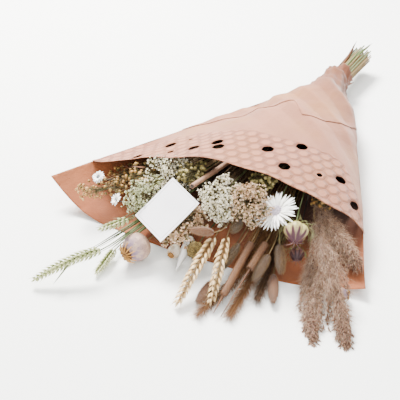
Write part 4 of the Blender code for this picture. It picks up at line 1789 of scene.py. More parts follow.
@dataclass
class CerealEar(Grown):
    """A wheat ear: husks set in threes on alternate sides of a zigzag stem."""

    slot: str = "ripe_wheat"
    husk: PlantFinish = RIPE_HUSK
    joints: int = 24
    awn: float = 0.005
    swell: float = 1.35
    plump: float = 1.35
    blades: int = 0
    needle: bool = False

    def grow_head(self) -> None:
        """Grow the husks, their awns and any leaf blades."""
        spine, joints = self.spine, self.joints
        t = np.linspace(0.0, 0.93, joints)
        points, bases, _ = spine.at(t)
        girth = spine.girth * self.plump * np.interp(t, (0, 0.12, 0.6, 0.93), (0.8, 1.0, 0.92, 0.62))
        turn = np.full(joints, 0.25 * math.sin(self.seed)) + t * 0.5
        flat = fan(bases[:, 1], bases[:, 0], turn)
        deep = fan(bases[:, 0], -bases[:, 1], turn)
        side = np.where(np.arange(joints) % 2, 1.0, -1.0)[:, None]
        self.mesher.tube(spine.path, np.full(len(spine.path), 0.0009), 6, self.husk, 0.3)
        husks = (
            (0.0, 0.50, 1.0), (1.0, 0.36, 0.94), (-1.0, 0.36, 0.94), (0.5, 0.72, 0.62), (-0.5, 0.72, 0.62))
        for lateral, lean, size in husks:
            jitter = self.rng.normal(0, 0.05, (joints, 3))
            forward = unit(bases[:, 2] + flat * side * lean + deep * lateral * 0.46 + jitter)
            roots = points + flat * side * (girth * 0.22)[:, None] + deep * lateral * (girth * 0.42)[:, None]
            long = girth * self.swell * size * self.rng.uniform(0.93, 1.07, joints)
            self.mesher.stamp(HUSK_FORM, roots, facing(forward, deep), long, self.tints(joints), self.husk)
            if size > 0.9:
                tips = roots + forward * (long * 0.93)[:, None]
                self.hairs(
                    tips, unit(forward + bases[:, 2] * 0.6), self.awn * self.rng.uniform(0.5, 1.3, joints),
                    0.00022, 0.05, self.husk)
        end, basis, _ = spine.at(np.array([0.95]))
        self.mesher.stamp(
            HUSK_FORM, end, facing(basis[:, 2], basis[:, 0]), [spine.girth * 1.3], self.tints(1), self.husk)
        self.grow_blades()
        if self.needle:
            start, basis, _ = spine.at(np.array([0.42]))
            t = np.linspace(0, 1, 12)[:, None]
            aim = unit(basis[0, 2] * 0.75 + np.cross(UP, basis[0, 2]) * 0.62)
            path = start[0] - UP * 0.002 + 0.034 * (aim * t - UP * 0.10 * t)
            path[:, 2] = np.maximum(path[:, 2], 0.0010)
            blade(self.mesher, path, 0.0024, 0.0004, BLADE_GREEN, UP, 0.04)

    def grow_blades(self) -> None:
        """Grow narrow dry leaves from the upper stem."""
        for i in range(self.blades):
            spine = self.spine
            stem = smooth_path(self.stem_path, 80)
            back = stem[79 - int(0.2 * 79 * (1 + 0.35 * i)):]
            sway = spine.bases[0][1] * (0.0050 if i % 2 else -0.0044) + UP * 0.0012
            t = np.linspace(0, 1, len(back))[:, None]
            forward = spine.bases[0][2] * 0.018 * (i % 3)
            path = smooth_path(back + sway * ease(t * 1.3) + forward * t**2, 24)
            path[:, 2] = np.maximum(path[:, 2], 0.0012)
            blade(self.mesher, path, 0.0046, 0.0006, BLADE_GREEN, spine.bases[0][0])


def blade(mesher: Mesher, path: Array, width: float, thickness: float, finish: Any, side: Array,
          blunt: float = 0.1) -> None:
    """Run a flat tapered blade along a path.

    Args:
        mesher: The piece it joins.
        path: Its middle line.
        width: Its greatest width.
        thickness: Its thickness.
        finish: Its finish.
        side: The direction its face looks.
        blunt: Width left at its tip, as a share.
    """
    t = np.linspace(0, 1, len(path))
    half = width / 2 * np.maximum(np.minimum(1, t * 9 + 0.35) * np.clip(1 - t**3, blunt, 1), blunt)
    angles = turns(8)
    thin = np.full((len(path), 1), thickness / 2)
    wide = half[:, None]
    radii = thin * wide / np.sqrt((wide * np.cos(angles)) ** 2 + (thin * np.sin(angles)) ** 2)
    mesher.tube(path, radii, 8, finish, 0.5 + 0.2 * np.sin(angles * 2), side)


@dataclass
class PoppyPod(Grown):
    """A ribbed seed pod under a crown of rays."""

    slot: str = "poppy_pod"
    head_rings: int = 8
    skin: MottledFinish = POPPY_SKIN
    rays: int = 13
    ribs: int = 11
    swell: float = 1.04
    crown: float = 0.80
    outline: tuple[tuple[float, float], ...] = (
        (0.0, 0.10), (0.02, 0.17), (0.045, 0.20), (0.07, 0.34), (0.12, 0.60), (0.22, 0.86), (0.36, 0.985),
        (0.48, 1.0), (0.60, 0.95), (0.71, 0.81), (0.79, 0.62), (0.84, 0.46), (0.88, 0.36),
    )

    def grow_head(self) -> None:
        """Turn the pod's body and crown it."""
        spine = self.spine
        girth = spine.girth * self.swell
        outline = smooth_path(np.array(self.outline), 46)
        points, _, _ = spine.at(outline[:, 0])
        angles = turns(66)
        rib = 1 - 0.022 * np.abs(np.cos(angles * self.ribs / 2)) ** 6
        sag = 1 + 0.012 * np.sin(angles * 2 + self.seed) + 0.01 * np.sin(angles * 3 + 1.3)
        fade = np.sin(math.pi * np.clip(outline[:, 0] / 0.9, 0, 1))[:, None]
        radii = girth * outline[:, 1:2] * (1 + (rib * sag - 1) * fade)
        tint = 0.5 + 0.1 * np.cos(angles * self.ribs)
        self.mesher.tube(points, radii, 66, self.skin, tint)
        self.grow_crown(girth)

    def grow_crown(self, girth: float) -> None:
        """Set the rayed crown on the pod's end.

        Args:
            girth: The pod's radius.
        """
        spine, rays = self.spine, self.rays
        base, basis, _ = spine.at(np.array([0.86]))
        axis, reach = basis[0, 2], girth * self.crown
        rise = np.array((0.0, 0.06, 0.13, 0.19, 0.22)) * girth
        disc = np.array((0.34, 0.60, 0.80, 0.55, 0.06)) * reach
        angles = turns(rays * 4)
        scallop = 0.92 + 0.12 * np.cos(angles * rays)
        self.mesher.tube(base + axis * rise[:, None], disc[:, None] * scallop, rays * 4, POPPY_DARK)
        turn = turns(rays) + self.rng.normal(0, 0.05, rays)
        out = fan(basis[0, 0], basis[0, 1], turn)
        t = np.linspace(0, 1, 8)
        lift = (0.22 + 0.05 * np.sin(math.pi * t) - 0.30 * t**3) * girth
        long = reach * self.rng.uniform(0.9, 1.12, rays)
        paths = base + axis * lift[None, :, None] + trail(out, 0.08 + 0.92 * t) * long[:, None, None]
        radii = girth * (0.012 + 0.036 * np.sin(math.pi * (0.10 + 0.84 * t)))
        self.mesher.strands(paths, radii, self.tints(rays), POPPY_RAY, 6)


@dataclass
class BunnyTail(Grown):
    """A soft oval grass head of countless short hairs, with a few awns at its tip."""

    slot: str = "bunny_tail"
    fuzz: PlantFinish = TAIL_FUZZ
    count: int = 2100
    hair: float = 0.0040
    swell: float = 1.2
    awns: int = 34

    def grow_head(self) -> None:
        """Grow the hairs over the head's body."""
        spine = self.spine
        t = np.linspace(0, 1, 26)
        points, _, radii = spine.at(t)
        body = spine.girth * 0.62 * self.swell * np.clip(np.sin(math.pi * (0.05 + 0.92 * t)), 0, 1) ** 0.55
        self.mesher.tube(points, body, 14, self.fuzz, 0.12)
        place, roots, out, forward, _ = spine.spiral(self.count)
        body = spine.girth * 0.58 * self.swell * np.clip(
            np.sin(math.pi * (0.05 + 0.92 * place)), 0.03, 1) ** 0.55
        roots = roots + out * body[:, None]
        aim = self.scatter(
            out * (0.80 - 0.45 * place)[:, None] + forward * (0.62 + 0.45 * place)[:, None], 0.16)
        self.hairs(roots, aim, self.hair * self.rng.uniform(0.6, 1.25, self.count), 0.00017, 0.10, self.fuzz)
        place = self.rng.uniform(0.55, 1.0, self.awns)
        roots, out, forward, radii = spine.around(place, self.rng.uniform(0, 6.28, self.awns))
        aim = self.scatter(out * 0.30 + forward, 0.08)
        self.hairs(
            roots + out * radii[:, None] * 0.3, aim, self.rng.uniform(0.007, 0.0115, self.awns), 0.00016,
            0.06, TAIL_AWN)


@dataclass
class Cattail(Grown):
    """A slim velvety mace that ends in a bare pointed stalk."""

    slot: str = "cattail"
    mace_end: float = 0.76

    def grow_head(self) -> None:
        """Grow the mace, its spike and the loose fibres at its ends."""
        spine = self.spine
        t = np.linspace(0, self.mace_end, 60)
        points, _, _ = spine.at(t)
        s = t / self.mace_end
        round_off = np.clip(np.minimum(s / 0.035, (1 - s) / 0.03), 0.0, 1.0) ** 0.5
        swell = spine.girth * (0.42 + 0.58 * round_off) * (1 - 0.10 * s + 0.02 * np.sin(s * 14))
        angles = turns(24)
        streak = 1 + 0.035 * np.sin(angles * 5 + self.seed) + 0.02 * np.sin(angles * 11)
        tint = np.clip(0.5 + 0.35 * np.sin(angles * 4 + self.seed) + 0.2 * np.sin(angles * 9), 0, 1)
        self.mesher.tube(points, swell[:, None] * streak, 24, MACE_BROWN, tint)
        t = np.linspace(self.mace_end - 0.02, 1.0, 26)
        points, _, _ = spine.at(t)
        thin = spine.girth * np.interp(t, (self.mace_end, self.mace_end + 0.05, 1.0), (0.42, 0.30, 0.10))
        self.mesher.tube(points, thin, 8, MACE_BROWN, 0.7)
        count = 900
        place = self.rng.uniform(0.01, self.mace_end - 0.005, count)
        roots, out, forward, _ = spine.around(place, self.rng.uniform(0, 6.28, count))
        aim = self.scatter(out * 0.5 + forward, 0.2)
        self.hairs(
            roots + out * spine.girth * 0.93, aim, self.rng.uniform(0.001, 0.0019, count), 0.00011, 0.1,
            ROSE_FUZZ)


@dataclass
class BristleGrass(Grown):
    """A narrow grass head with small seeds and long stiff bristles."""

    slot: str = "bristle_grass"
    bristle: PlantFinish = BRISTLE_RED
    seeds: int = 150
    bristles: int = 2900
    reach: float = 0.0185
    wisps: int = 60
    start: int = 66

    def grow_head(self) -> None:
        """Grow the seeds and the bristles, from well down the stem to the tip."""
        lower = smooth_path(self.stem_path, 100)[self.start::4]
        girth = np.linspace(0.5, 1.0, len(lower)) * self.spine.girth
        self.spine = Spine(
            np.vstack((lower[:-1], self.spine.path[::6])),
            np.concatenate((girth[:-1], self.spine.radii[::6])))
        spine, rng = self.spine, self.rng
        self.mesher.tube(spine.path, np.full(len(spine.path), 0.0008), 6, self.bristle, 0.3)
        self.grow_wisps(self.wisps, 3.0, self.bristle)
        place, roots, out, forward, radii = spine.spiral(self.seeds)
        aim = self.scatter(out * 0.6 + forward, 0.12)
        taper = np.interp(place, (0, 0.1, 0.7, 1), (0.7, 1, 0.9, 0.45))
        self.mesher.stamp(SEED_FORM, roots + out * (radii * 0.30)[:, None], facing(aim, out),
                          0.0042 * taper, self.tints(self.seeds), self.bristle)
        place, roots, out, forward, radii = spine.spiral(self.bristles, 1.0)
        aim = self.scatter(out * rng.uniform(0.45, 1.15, self.bristles)[:, None] + forward, 0.16)
        long = self.reach * rng.uniform(0.6, 1.15, self.bristles) * np.interp(
            place, (0, 0.1, 0.8, 1), (0.7, 1, 1, .7))
        self.hairs(roots + out * (radii * 0.2)[:, None], aim, long, 0.00019, 0.10, self.bristle)


@dataclass
class ReedPlume(Grown):
    """A feathery reed plume: drooping side twigs that carry dark seeds in silky hair."""

    slot: str = "reed_plume"
    twigs: int = 96
    seeds_per_twig: int = 12
    spread: float = 2.6
    twig_length: float = 0.050
    droop: float = 0.26
    hairs_per_seed: int = 7

    def grow_head(self) -> None:
        """Grow the twigs, their seeds and the silky hair."""
        spine, rng, twigs = self.spine, self.rng, self.twigs
        thin = np.linspace(0.0011, 0.0004, len(spine.path))
        self.mesher.tube(spine.path, thin, 6, PLUME_TWIG, 0.6)
        k = np.arange(twigs)
        place = ((k + 0.5) / twigs) * 0.98
        roots, out, forward, radii = spine.around(place, k * GOLDEN_ANGLE + rng.normal(0, 0.3, twigs))
        out = unit(out + UP * 0.15)
        wide = radii / spine.girth
        long = self.twig_length * (0.45 + 0.55 * wide) * rng.uniform(0.75, 1.15, twigs)
        lean = (spine.girth * self.spread / self.twig_length) * wide * rng.uniform(0.5, 1.15, twigs)
        t = np.linspace(0, 1, 9)
        curve = roots[:, None] + long[:, None, None] * (
            trail(forward, t * 0.92) + trail(out, lean[:, None] * (t - 0.32 * t**2))
            - UP * (self.droop * t**2)[None, :, None])
        curve += unit(rng.normal(size=(twigs, 1, 3))) * (long[:, None] * 0.10 * np.sin(t * 3.1))[..., None]
        self.mesher.strands(curve, 0.00030 * (1 - 0.6 * t), self.tints(twigs), PLUME_TWIG)
        self.grow_seeds(curve)

    def grow_seeds(self, curve: Array) -> None:
        """Set seeds with silky hair along the twigs.

        Args:
            curve: The twigs' points.
        """
        rng = self.rng
        twigs, steps = curve.shape[:2]
        share = np.tile(np.linspace(0.14, 1.0, self.seeds_per_twig), twigs)
        share = np.clip(share + rng.normal(0, 0.02, len(share)), 0, 0.999)
        index = np.repeat(np.arange(twigs), self.seeds_per_twig)
        low = np.minimum((share * (steps - 1)).astype(int), steps - 2)
        part = (share * (steps - 1) - low)[:, None]
        roots = curve[index, low] * (1 - part) + curve[index, low + 1] * part
        along = unit(curve[index, low + 1] - curve[index, low])
        aim = self.scatter(along, 0.42)
        count = len(roots)
        long = rng.uniform(0.0034, 0.0054, count) * np.interp(
            np.arange(count) / count, (0, 0.6, 1), (0.9, 1.1, 1.45))
        self.mesher.stamp(SEED_FORM, roots, facing(aim, rng.normal(size=roots.shape)),
                          slim(long, 0.9), self.tints(count), PLUME_SEED)
        many = np.repeat(np.arange(count), self.hairs_per_seed)
        spray = self.scatter(aim[many], 0.42)
        long = rng.uniform(0.0065, 0.0135, len(many)) * np.interp(
            many / count, (0, 0.6, 1), (1.1, 0.95, 0.55))
        self.hairs(roots[many], spray, long, 0.00013, 0.14, PLUME_HAIR)


@dataclass
class BlossomSpray(Grown):
    """A cloud of tiny five-petalled blossoms on a bush of fine twigs."""

    slot: str = "white_blossom"
    head_rings: int = 5
    stem_finish: FibreFinish = GREEN_STEM
    blossom: PlantFinish = BLOSSOM
    bunches: int = 50
    per_bunch: int = 16
    spread: float = 1.9
    stretch: float = 1.35
    size: float = 0.0023
    wisps: int = 34

    def grow_head(self) -> None:
        """Grow the twigs and crowd blossoms on their ends."""
        spine, rng, bunches = self.spine, self.rng, self.bunches
        self.grow_wisps(self.wisps, 1.6, WISP)
        k = np.arange(bunches)
        place = rng.uniform(0.02, 1.0, bunches)
        points, out, forward, radii = spine.around(place, k * GOLDEN_ANGLE)
        away = np.sqrt(rng.uniform(0.05, 1.0, bunches)) * np.maximum(radii, spine.girth * 0.55) * self.spread
        mid = spine.path[len(spine.path) // 2]
        ends = points + out * away[:, None] + (points - mid) * (self.stretch - 1)
        roots, _, _ = spine.at(np.clip(place * 0.7 - 0.15, 0, 1))
        t = np.linspace(0, 1, 7)
        bow = forward * (away * 0.35)[:, None]
        paths = between(roots, ends, t)
        paths = paths + trail(bow, np.sin(math.pi * t)) * 0.5
        self.mesher.strands(paths, 0.00042 * (1 - 0.5 * t), self.tints(bunches), TWIG, 4)
        count = bunches * self.per_bunch
        many = np.repeat(k, self.per_bunch)
        grow = unit(ends - roots)[many]
        ball = unit(rng.normal(size=(count, 3))) * (rng.uniform(0, 1, count) ** 0.4)[:, None]
        heads = ends[many] + ball * 0.0074 + grow * 0.002
        aim = self.scatter(ball + grow * 0.6 + UP * 0.25, 0.15)
        forks = ends[many] - grow * 0.0035
        t = np.linspace(0, 1, 4)
        stalks = between(forks, heads, t)
        self.mesher.strands(stalks, 0.00019 * (1 - 0.3 * t), self.tints(count), TWIG)
        size = self.size * rng.uniform(0.62, 1.15, count)
        bases = facing(aim, rng.normal(size=(count, 3)))
        tints = self.tints(count, 1.1)
        self.mesher.stamp(BLOSSOM_FORM, heads, bases, size, tints, self.blossom)
        self.mesher.stamp(
            CALYX_FORM, heads - aim * (size * 0.75)[:, None], bases, size, self.tints(count), CALYX)


@dataclass
class FlaxSpray(Grown):
    """An open bush of wiry twigs with a round seed pod on each."""

    slot: str = "flax_pod"
    head_rings: int = 5
    pod: PlantFinish = FLAX_POD
    pods: int = 60
    spread: float = 2.2
    stretch: float = 1.5
    size: float = 0.0043
    wisps: int = 26

    def grow_head(self) -> None:
        """Grow the twigs, the pods and their small sepals."""
        spine, rng, pods = self.spine, self.rng, self.pods
        self.grow_wisps(self.wisps, 1.8, WISP)
        k = np.arange(pods)
        place = rng.uniform(0.0, 1.0, pods)
        points, out, forward, radii = spine.around(place, k * GOLDEN_ANGLE)
        away = rng.uniform(0.35, 1.0, pods) * np.maximum(radii, spine.girth * 0.6) * self.spread
        out[:, 2] = out[:, 2] * 0.75 + 0.1
        mid = spine.path[len(spine.path) // 2]
        ends = points + out * away[:, None] + (points - mid) * (self.stretch - 1)
        roots, _, _ = spine.at(np.clip(place * 0.75 - 0.25, 0, 1))
        t = np.linspace(0, 1, 10)
        bow = forward * (away * 0.8)[:, None] + rng.normal(0, 0.0022, (pods, 3))
        paths = between(roots, ends, t)
        paths = paths + trail(bow, np.sin(math.pi * t)) * 0.42
        self.mesher.strands(paths, 0.00036 * (1 - 0.35 * t), self.tints(pods), TWIG, 4)
        aim = self.scatter(paths[:, -1] - paths[:, -2], 0.0004)
        size = self.size * rng.uniform(0.72, 1.12, pods)
        bases = facing(aim, rng.normal(size=(pods, 3)))
        self.mesher.stamp(POD_FORM, ends, bases, size, self.tints(pods), self.pod)
        for i in range(5):
            turn = i * 2 * math.pi / 5
            around = bases[:, 0] * math.cos(turn) + bases[:, 1] * math.sin(turn)
            leaf = facing(unit(aim * 0.75 + around * 0.65), np.cross(around, aim))
            self.mesher.stamp(SEPAL_FORM, ends + around * (size * 0.16)[:, None], leaf, size * 0.72,
                              self.tints(pods), CALYX)


SEPAL_FORM = petal_form(0.22, 1.2, 0.30, 4, 3)
LONG_PETAL = petal_form(0.068, 1.25, 0.16, 8, 5)
ROUND_PETAL = petal_form(0.22, 0.8, 0.30, 6, 5)


@dataclass
class PaperDaisy(Grown):
    """A flower of stiff papery petals in rings round a tufted disc."""

    slot: str = "white_petal"
    petal: Form = field(default_factory=lambda: LONG_PETAL)
    rings: tuple[tuple[int, float, float], ...] = ((30, 0.82, 0.10), (26, 0.78, 0.32), (22, 0.62, 0.58))
    disc: float = 0.33
    disc_finish: PlantFinish = DISC_LILAC
    florets: int = 300
    swell: float = 1.0
    face: tuple[float, float, float] | None = None

    def grow_head(self) -> None:
        """Grow the cup, the rings of petals and the disc."""
        spine, rng = self.spine, self.rng
        girth = spine.girth * self.swell
        axis = unit(spine.path[-1] - spine.path[0]) if self.face is None else unit(np.array(self.face))
        basis = facing(axis, UP)
        heart, _, _ = spine.at(np.array([0.55]))
        heart = heart[0]
        bend = np.linspace(0, 1, 12)[:, None]
        start, turn = spine.path[0], heart - axis * girth * 0.30
        neck = (start * (1 - bend) ** 2 + (2 * bend * (1 - bend)) * (turn - axis * girth * 0.2)
                + turn * bend**2)
        self.mesher.tube(neck, np.linspace(self.stem_tip, self.stem_tip * 1.8, 12), 8, self.stem_finish, 0.5)
        rise = np.array((-0.30, -0.24, -0.12, 0.0, 0.06)) * girth
        cup = np.array((0.08, 0.22, 0.33, 0.30, 0.05)) * girth
        self.mesher.tube(heart + axis * rise[:, None], cup, 20, CALYX, 0.6)
        for count, long, lift in self.rings:
            turn = (np.arange(count) + rng.uniform(0, 1)) * 2 * math.pi / count + rng.normal(0, 0.05, count)
            out = fan(basis[0], basis[1], turn)
            lifts = lift + rng.normal(0, 0.07, count)
            aim = out * np.cos(lifts)[:, None] + axis * np.sin(lifts)[:, None]
            across = np.cross(aim, axis)
            roots = heart + out * (self.disc * 0.62 * girth) + axis * (lift * 0.06 * girth)
            sizes = girth * long * rng.uniform(0.88, 1.06, count)
            self.mesher.stamp(
                self.petal, roots, facing(aim, across), sizes, self.tints(count, 0.8), PETAL_WHITE)
        self.grow_disc(heart, axis, basis, girth)

    def grow_disc(self, heart: Array, axis: Array, basis: Array, girth: float) -> None:
        """Grow the domed tufted disc.

        Args:
            heart: The flower's middle.
            axis: Where the flower faces.
            basis: The basis whose rows across and over span its face.
            girth: The flower's radius.
        """
        reach = girth * self.disc
        rise = np.array((-0.05, 0.06, 0.20, 0.30, 0.34)) * reach
        dome = np.array((0.92, 0.90, 0.72, 0.40, 0.03)) * reach
        self.mesher.tube(heart + axis * rise[:, None], dome, 24, self.disc_finish, 0.3)
        k = np.arange(self.florets)
        away = np.sqrt((k + 0.5) / self.florets)
        turn = k * GOLDEN_ANGLE
        out = fan(basis[0], basis[1], turn)
        roots = heart + out * (away * reach * 0.92)[:, None] + axis * (reach * 0.30 * (1 - away**2))[:, None]
        aim = self.scatter(axis + out * (away * 0.7)[:, None], 0.12)
        size = reach * 0.24 * self.rng.uniform(0.7, 1.2, self.florets)
        self.mesher.stamp(KNOB_FORM, roots, facing(aim, out), slim(size, 0.55),
                          self.tints(self.florets), self.disc_finish)


@dataclass
class NigellaPod(Grown):
    """An inflated pod of five striped lobes with horns, in a ruff of threadlike bracts."""

    slot: str = "nigella_pale"
    head_rings: int = 8
    skin: MottledFinish = NIGELLA_SKIN
    lobes: int = 5
    swell: float = 1.14
    bracts: int = 18
    outline: tuple[tuple[float, float], ...] = (
        (0.0, 0.14), (0.03, 0.30), (0.08, 0.55), (0.18, 0.84), (0.32, 1.0), (0.46, 0.99), (0.60, 0.86),
        (0.72, 0.66), (0.81, 0.44), (0.87, 0.28), (0.90, 0.16),
    )

    def grow_head(self) -> None:
        """Blow up the pod, stripe it, and add its horns and bracts."""
        spine = self.spine
        girth = spine.girth * self.swell
        outline = smooth_path(np.array(self.outline), 40)
        points, _, _ = spine.at(outline[:, 0])
        sides = 80
        angles = turns(sides)
        lobe = np.abs(np.cos(angles * self.lobes / 2)) ** 0.55
        radii = girth * outline[:, 1:2] * (0.80 + 0.20 * lobe)
        seam = 1 - lobe
        ridge = np.exp(-((np.abs((angles * self.lobes / (2 * math.pi)) % 1.0 - 0.5) - 0.5) / 0.075) ** 2)
        flank = np.exp(-((np.abs((angles * self.lobes / (2 * math.pi)) % 1.0 - 0.5) - 0.27) / 0.11) ** 2)
        fade = ease((outline[:, 0] - 0.22) / 0.36)[:, None]
        low = ease((outline[:, 0] - 0.52) / 0.30)[:, None]
        tint = 0.40 + (0.36 * flank + 0.20 * ridge + 0.15 * seam) * fade + 0.22 * low * (1 - ridge)
        self.mesher.tube(points, radii, sides, self.skin, tint)
        self.grow_horns(girth)
        self.grow_bracts(girth)

    def grow_horns(self, girth: float) -> None:
        """Grow the horns that curl from the pod's end."""
        base, basis, _ = self.spine.at(np.array([0.86]))
        turn = turns(self.lobes) + 0.3
        out = fan(basis[0, 0], basis[0, 1], turn)
        t = np.linspace(0, 1, 9)
        paths = base + girth * (
            basis[0, 2] * (0.75 * t - 0.30 * t**2)[None, :, None]
            + trail(out, 0.10 + 0.20 * t + 0.55 * t**2))
        self.mesher.strands(paths, girth * 0.062 * (1 - 0.85 * t), self.tints(self.lobes), HORN, 6)

    def grow_bracts(self, girth: float) -> None:
        """Grow the wiry forked bracts round the pod."""
        rng, count = self.rng, self.bracts
        base, basis, _ = self.spine.at(np.array([0.02]))
        turn = np.arange(count) * GOLDEN_ANGLE
        out = fan(basis[0, 0], basis[0, 1], turn)
        t = np.linspace(0, 1, 10)
        wide = girth * rng.uniform(1.15, 1.6, count)
        rise = girth * rng.uniform(0.5, 1.7, count)
        paths = base + trail(out, wide[:, None] * np.sin(t * 2.0)) + basis[0, 2] * (
            rise[:, None] * t**1.6)[..., None]
        self.mesher.strands(paths, 0.00034 * (1 - 0.7 * t), self.tints(count), NIGELLA_BRACT, 4)
        for fork in (4, 6, 7):
            sway = out * 0.001 * rng.normal(0, 1, (count, 1))
            aim = self.scatter(paths[:, fork] - paths[:, fork - 1] + sway, 0.0011)
            self.hairs(
                paths[:, fork], aim, girth * rng.uniform(0.3, 0.7, count), 0.00024, 0.25, NIGELLA_BRACT, 5)


@dataclass
class ScabiousHead(Grown):
    """A round head of dry cups, each with dark bristles."""

    slot: str = "scabious"
    head_rings: int = 8
    stem_finish: FibreFinish = GREEN_STEM
    cups: int = 120

    def grow_head(self) -> None:
        """Cover a ball with cups and bristles."""
        spine, rng = self.spine, self.rng
        middle, basis, _ = spine.at(np.array([0.5]))
        girth = spine.girth * 1.05
        k = np.arange(self.cups)
        z = 1 - 1.8 * (k + 0.5) / self.cups
        ring = np.sqrt(1 - z**2)
        turn = k * GOLDEN_ANGLE
        local = np.stack((ring * np.cos(turn), ring * np.sin(turn), z), axis=1)
        aim = local @ basis[0]
        t = np.linspace(-0.95, 0.95, 14)
        self.mesher.tube(
            middle + basis[0, 2] * (t * girth * 0.62)[:, None], girth * 0.62 * np.sqrt(1 - t**2), 14,
            SCABIOUS, 0.2)
        roots = middle + aim * girth * 0.5
        size = girth * 0.66 * rng.uniform(0.85, 1.12, self.cups)
        self.mesher.stamp(CUP_FORM, roots, facing(aim, rng.normal(size=(self.cups, 3))),
                          slim(size, 0.7), self.tints(self.cups), SCABIOUS)
        many = np.repeat(k, 5)
        spray = self.scatter(aim[many], 0.28)
        self.hairs(
            middle + aim[many] * girth * 0.95, spray, girth * rng.uniform(0.25, 0.45, len(many)), 0.00018,
            0.1, BRISTLE_DARK)


@dataclass
class ReedStick(Grown):
    """A thick straw with a joint and a cut end, its hollow a dark disc of painted shade."""

    slot: str = "reed_straw"
    head_rings: int = 4

    def grow_head(self) -> None:
        """Grow the thick straw and the dark disc of painted shade that stands for its hollow."""
        spine = self.spine
        t = np.linspace(0, 1, 60)
        points, bases, _ = spine.at(t)
        radii = spine.girth * (0.92 - 0.05 * t) * np.clip(0.35 + t * 30, 0, 1)
        radii = radii * (
            1 + 0.16 * np.exp(-(((t - 0.42) / 0.012) ** 2)) - 0.07 * np.exp(-(((t - 0.45) / 0.01) ** 2)))
        angles = turns(20)
        tint = np.clip(0.55 + 0.25 * np.sin(angles * 3 + 1) + 0.12 * np.sin(angles * 8), 0, 1)
        self.mesher.tube(points, radii[:, None] * (1 + 0.02 * np.sin(angles * 6)), 20, REED_STALK, tint)
        # Painted shade: a thin dark disc on the cut end stands in for the shadowed hollow.
        end = points[-1] + bases[-1, 2] * np.array((0.0, 0.00005, 0.0001))[:, None]
        self.mesher.tube(end, spine.girth * np.array((0.66, 0.66, 0.66)), 16, DARK_STEM, 0.1)


@dataclass
class DryLeaf(Grown):
    """A flat dry leaf, straight or curled."""

    slot: str = "pale_leaf"
    head_rings: int = 2
    leaf: PlantFinish = LEAF_WHITE
    width: float = 0.0125
    curl: float = 0.0
    face: tuple[float, float, float] | None = None
    thickness: float = 0.0006
    blades: int = 1

    def grow_head(self) -> None:
        """Grow the leaf along the spine, curling as it goes."""
        spine = self.spine
        t = np.linspace(0, 1, 40)
        points, bases, _ = spine.at(t)
        up = bases[0, 0] if self.face is None else unit(np.array(self.face))
        for i in range(self.blades):
            turn = t * self.curl * (1 + 0.4 * i) + 2.1 * i
            ring = bases[:, 0] * np.sin(turn)[:, None] + bases[:, 1] * (1 - np.cos(turn))[:, None]
            path = points + ring * (0.0034 if self.curl else 0.0) * ease(t)[:, None]
            path = path - UP * (0.002 * np.sin(t * 3.1) * i)[:, None]
            blade(self.mesher, path, self.width * (1 - 0.25 * i), self.thickness, self.leaf,
                  up * math.cos(0.5 * i) + bases[0, 1] * math.sin(0.5 * i), 0.16)


# ---- the bouquet -------------------------------------------------------------------------------


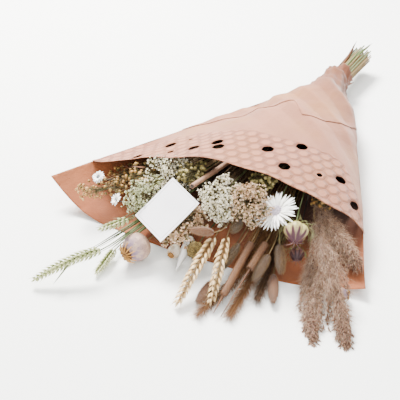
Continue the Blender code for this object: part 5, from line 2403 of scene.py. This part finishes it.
def plants() -> list[Grown]:
    """List the bouquet's plants, each on its frame node, in the order that gives them their seeds.

    Returns:
        The plants.
    """
    green_ear = partial(CerealEar, slot="green_ear", stem_finish=GREEN_STEM, husk=GREEN_HUSK, knots=3)
    papery = partial(
        PaperDaisy, stem_finish=DARK_STEM, petal=ROUND_PETAL, disc=0.42, disc_finish=DISC_DARK, florets=70)
    return [
        green_ear("green_ear_long", joints=32, blades=4, needle=True),
        green_ear("green_ear_short", joints=19, blades=2, leafy=-0.012),
        green_ear("green_ear_high", joints=14, blades=3, leafy=0.014),
        CerealEar("wheat_ear_left", knots=3, swell=1.6),
        CerealEar("wheat_ear_right", knots=3, joints=22, swell=1.6),
        PoppyPod("poppy_pod_large"),
        PoppyPod("poppy_pod_side", rays=11),
        PoppyPod("poppy_bud", slot="pale_bud", stem_finish=GREEN_STEM, skin=BUD_SKIN, rays=10, crown=0.7),
        PaperDaisy("strawflower", stem_finish=GREEN_STEM, swell=1.22, face=(-0.30, -0.42, 0.86)),
        papery("papery_flower_outer", rings=((14, 0.85, 0.25), (11, 0.7, 0.75)), face=(-0.15, -0.55, 0.8)),
        papery("papery_flower_inner", rings=((14, 0.85, 0.35), (11, 0.7, 0.9)), face=(-0.5, -0.5, 0.6)),
        NigellaPod("nigella_pod_pale", stem_finish=GREEN_STEM),
        NigellaPod("nigella_pod_dark", slot="nigella_dark", stem_finish=DARK_STEM, skin=NIGELLA_DUSK),
        BunnyTail("bunny_tail_left", fuzz=ROSE_FUZZ),
        BunnyTail("bunny_tail_ochre", fuzz=OCHRE_FUZZ),
        BunnyTail("bunny_tail_middle"),
        BunnyTail("bunny_tail_right"),
        BunnyTail("bunny_tail_low", fuzz=ROSE_FUZZ),
        BunnyTail("bunny_tail_round", fuzz=OCHRE_FUZZ, swell=1.3),
        BunnyTail("bunny_tail_front", fuzz=ROSE_FUZZ),
        Cattail("cattail_long"),
        Cattail("cattail_short", mace_end=0.38),
        BristleGrass("bristle_grass_left"),
        BristleGrass("bristle_grass_right"),
        BristleGrass("bristle_grass_dark", stem_finish=DARK_STEM, bristle=BRISTLE_DARK),
        ReedPlume("reed_plume_long", twigs=120),
        ReedPlume("reed_plume_short", spread=2.9, twigs=90),
        ReedPlume("reed_plume_side", spread=3.0, twigs=80),
        BlossomSpray("white_spray_left", leafy=-0.008),
        BlossomSpray("white_spray_middle", bunches=60, leafy=0.009),
        BlossomSpray("white_spray_right", blossom=PINK_BLOSSOM, bunches=64, spread=2.3),
        BlossomSpray("white_spray_card", blossom=GREEN_BLOSSOM),
        BlossomSpray("white_spray_low", blossom=PINK_BLOSSOM, spread=2.7),
        FlaxSpray("flax_spray_outer"),
        FlaxSpray("flax_spray_upper"),
        FlaxSpray("flax_spray_inner"),
        FlaxSpray("flax_spray_middle", pod=GREEN_POD),
        FlaxSpray("flax_spray_right", pod=GREEN_POD),
        FlaxSpray("flax_spray_far"),
        ScabiousHead("scabious_head", leafy=0.016),
        ReedStick("reed_stick"),
        DryLeaf("pale_leaf", face=(0.35, -0.62, 0.70)),
        DryLeaf(
            "curled_leaf", slot="brown_leaf", head_rings=6, stem_finish=DARK_STEM, leaf=LEAF_BROWN,
            width=0.0050, curl=5.0, blades=2),
    ]


def keep_size() -> None:
    """Bring the scene's placements up to date."""
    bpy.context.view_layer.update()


def main() -> None:
    """Build the bouquet and its studio."""
    logging.basicConfig(level=logging.INFO, format="%(name)s %(message)s")
    Studio().build()
    Sleeve().build()
    GiftCard().build()
    StemTie().build()
    for seed, grown in enumerate(plants(), FIRST_SEED):
        grown.build(seed)
    keep_size()


if __name__ == "__main__":
    main()
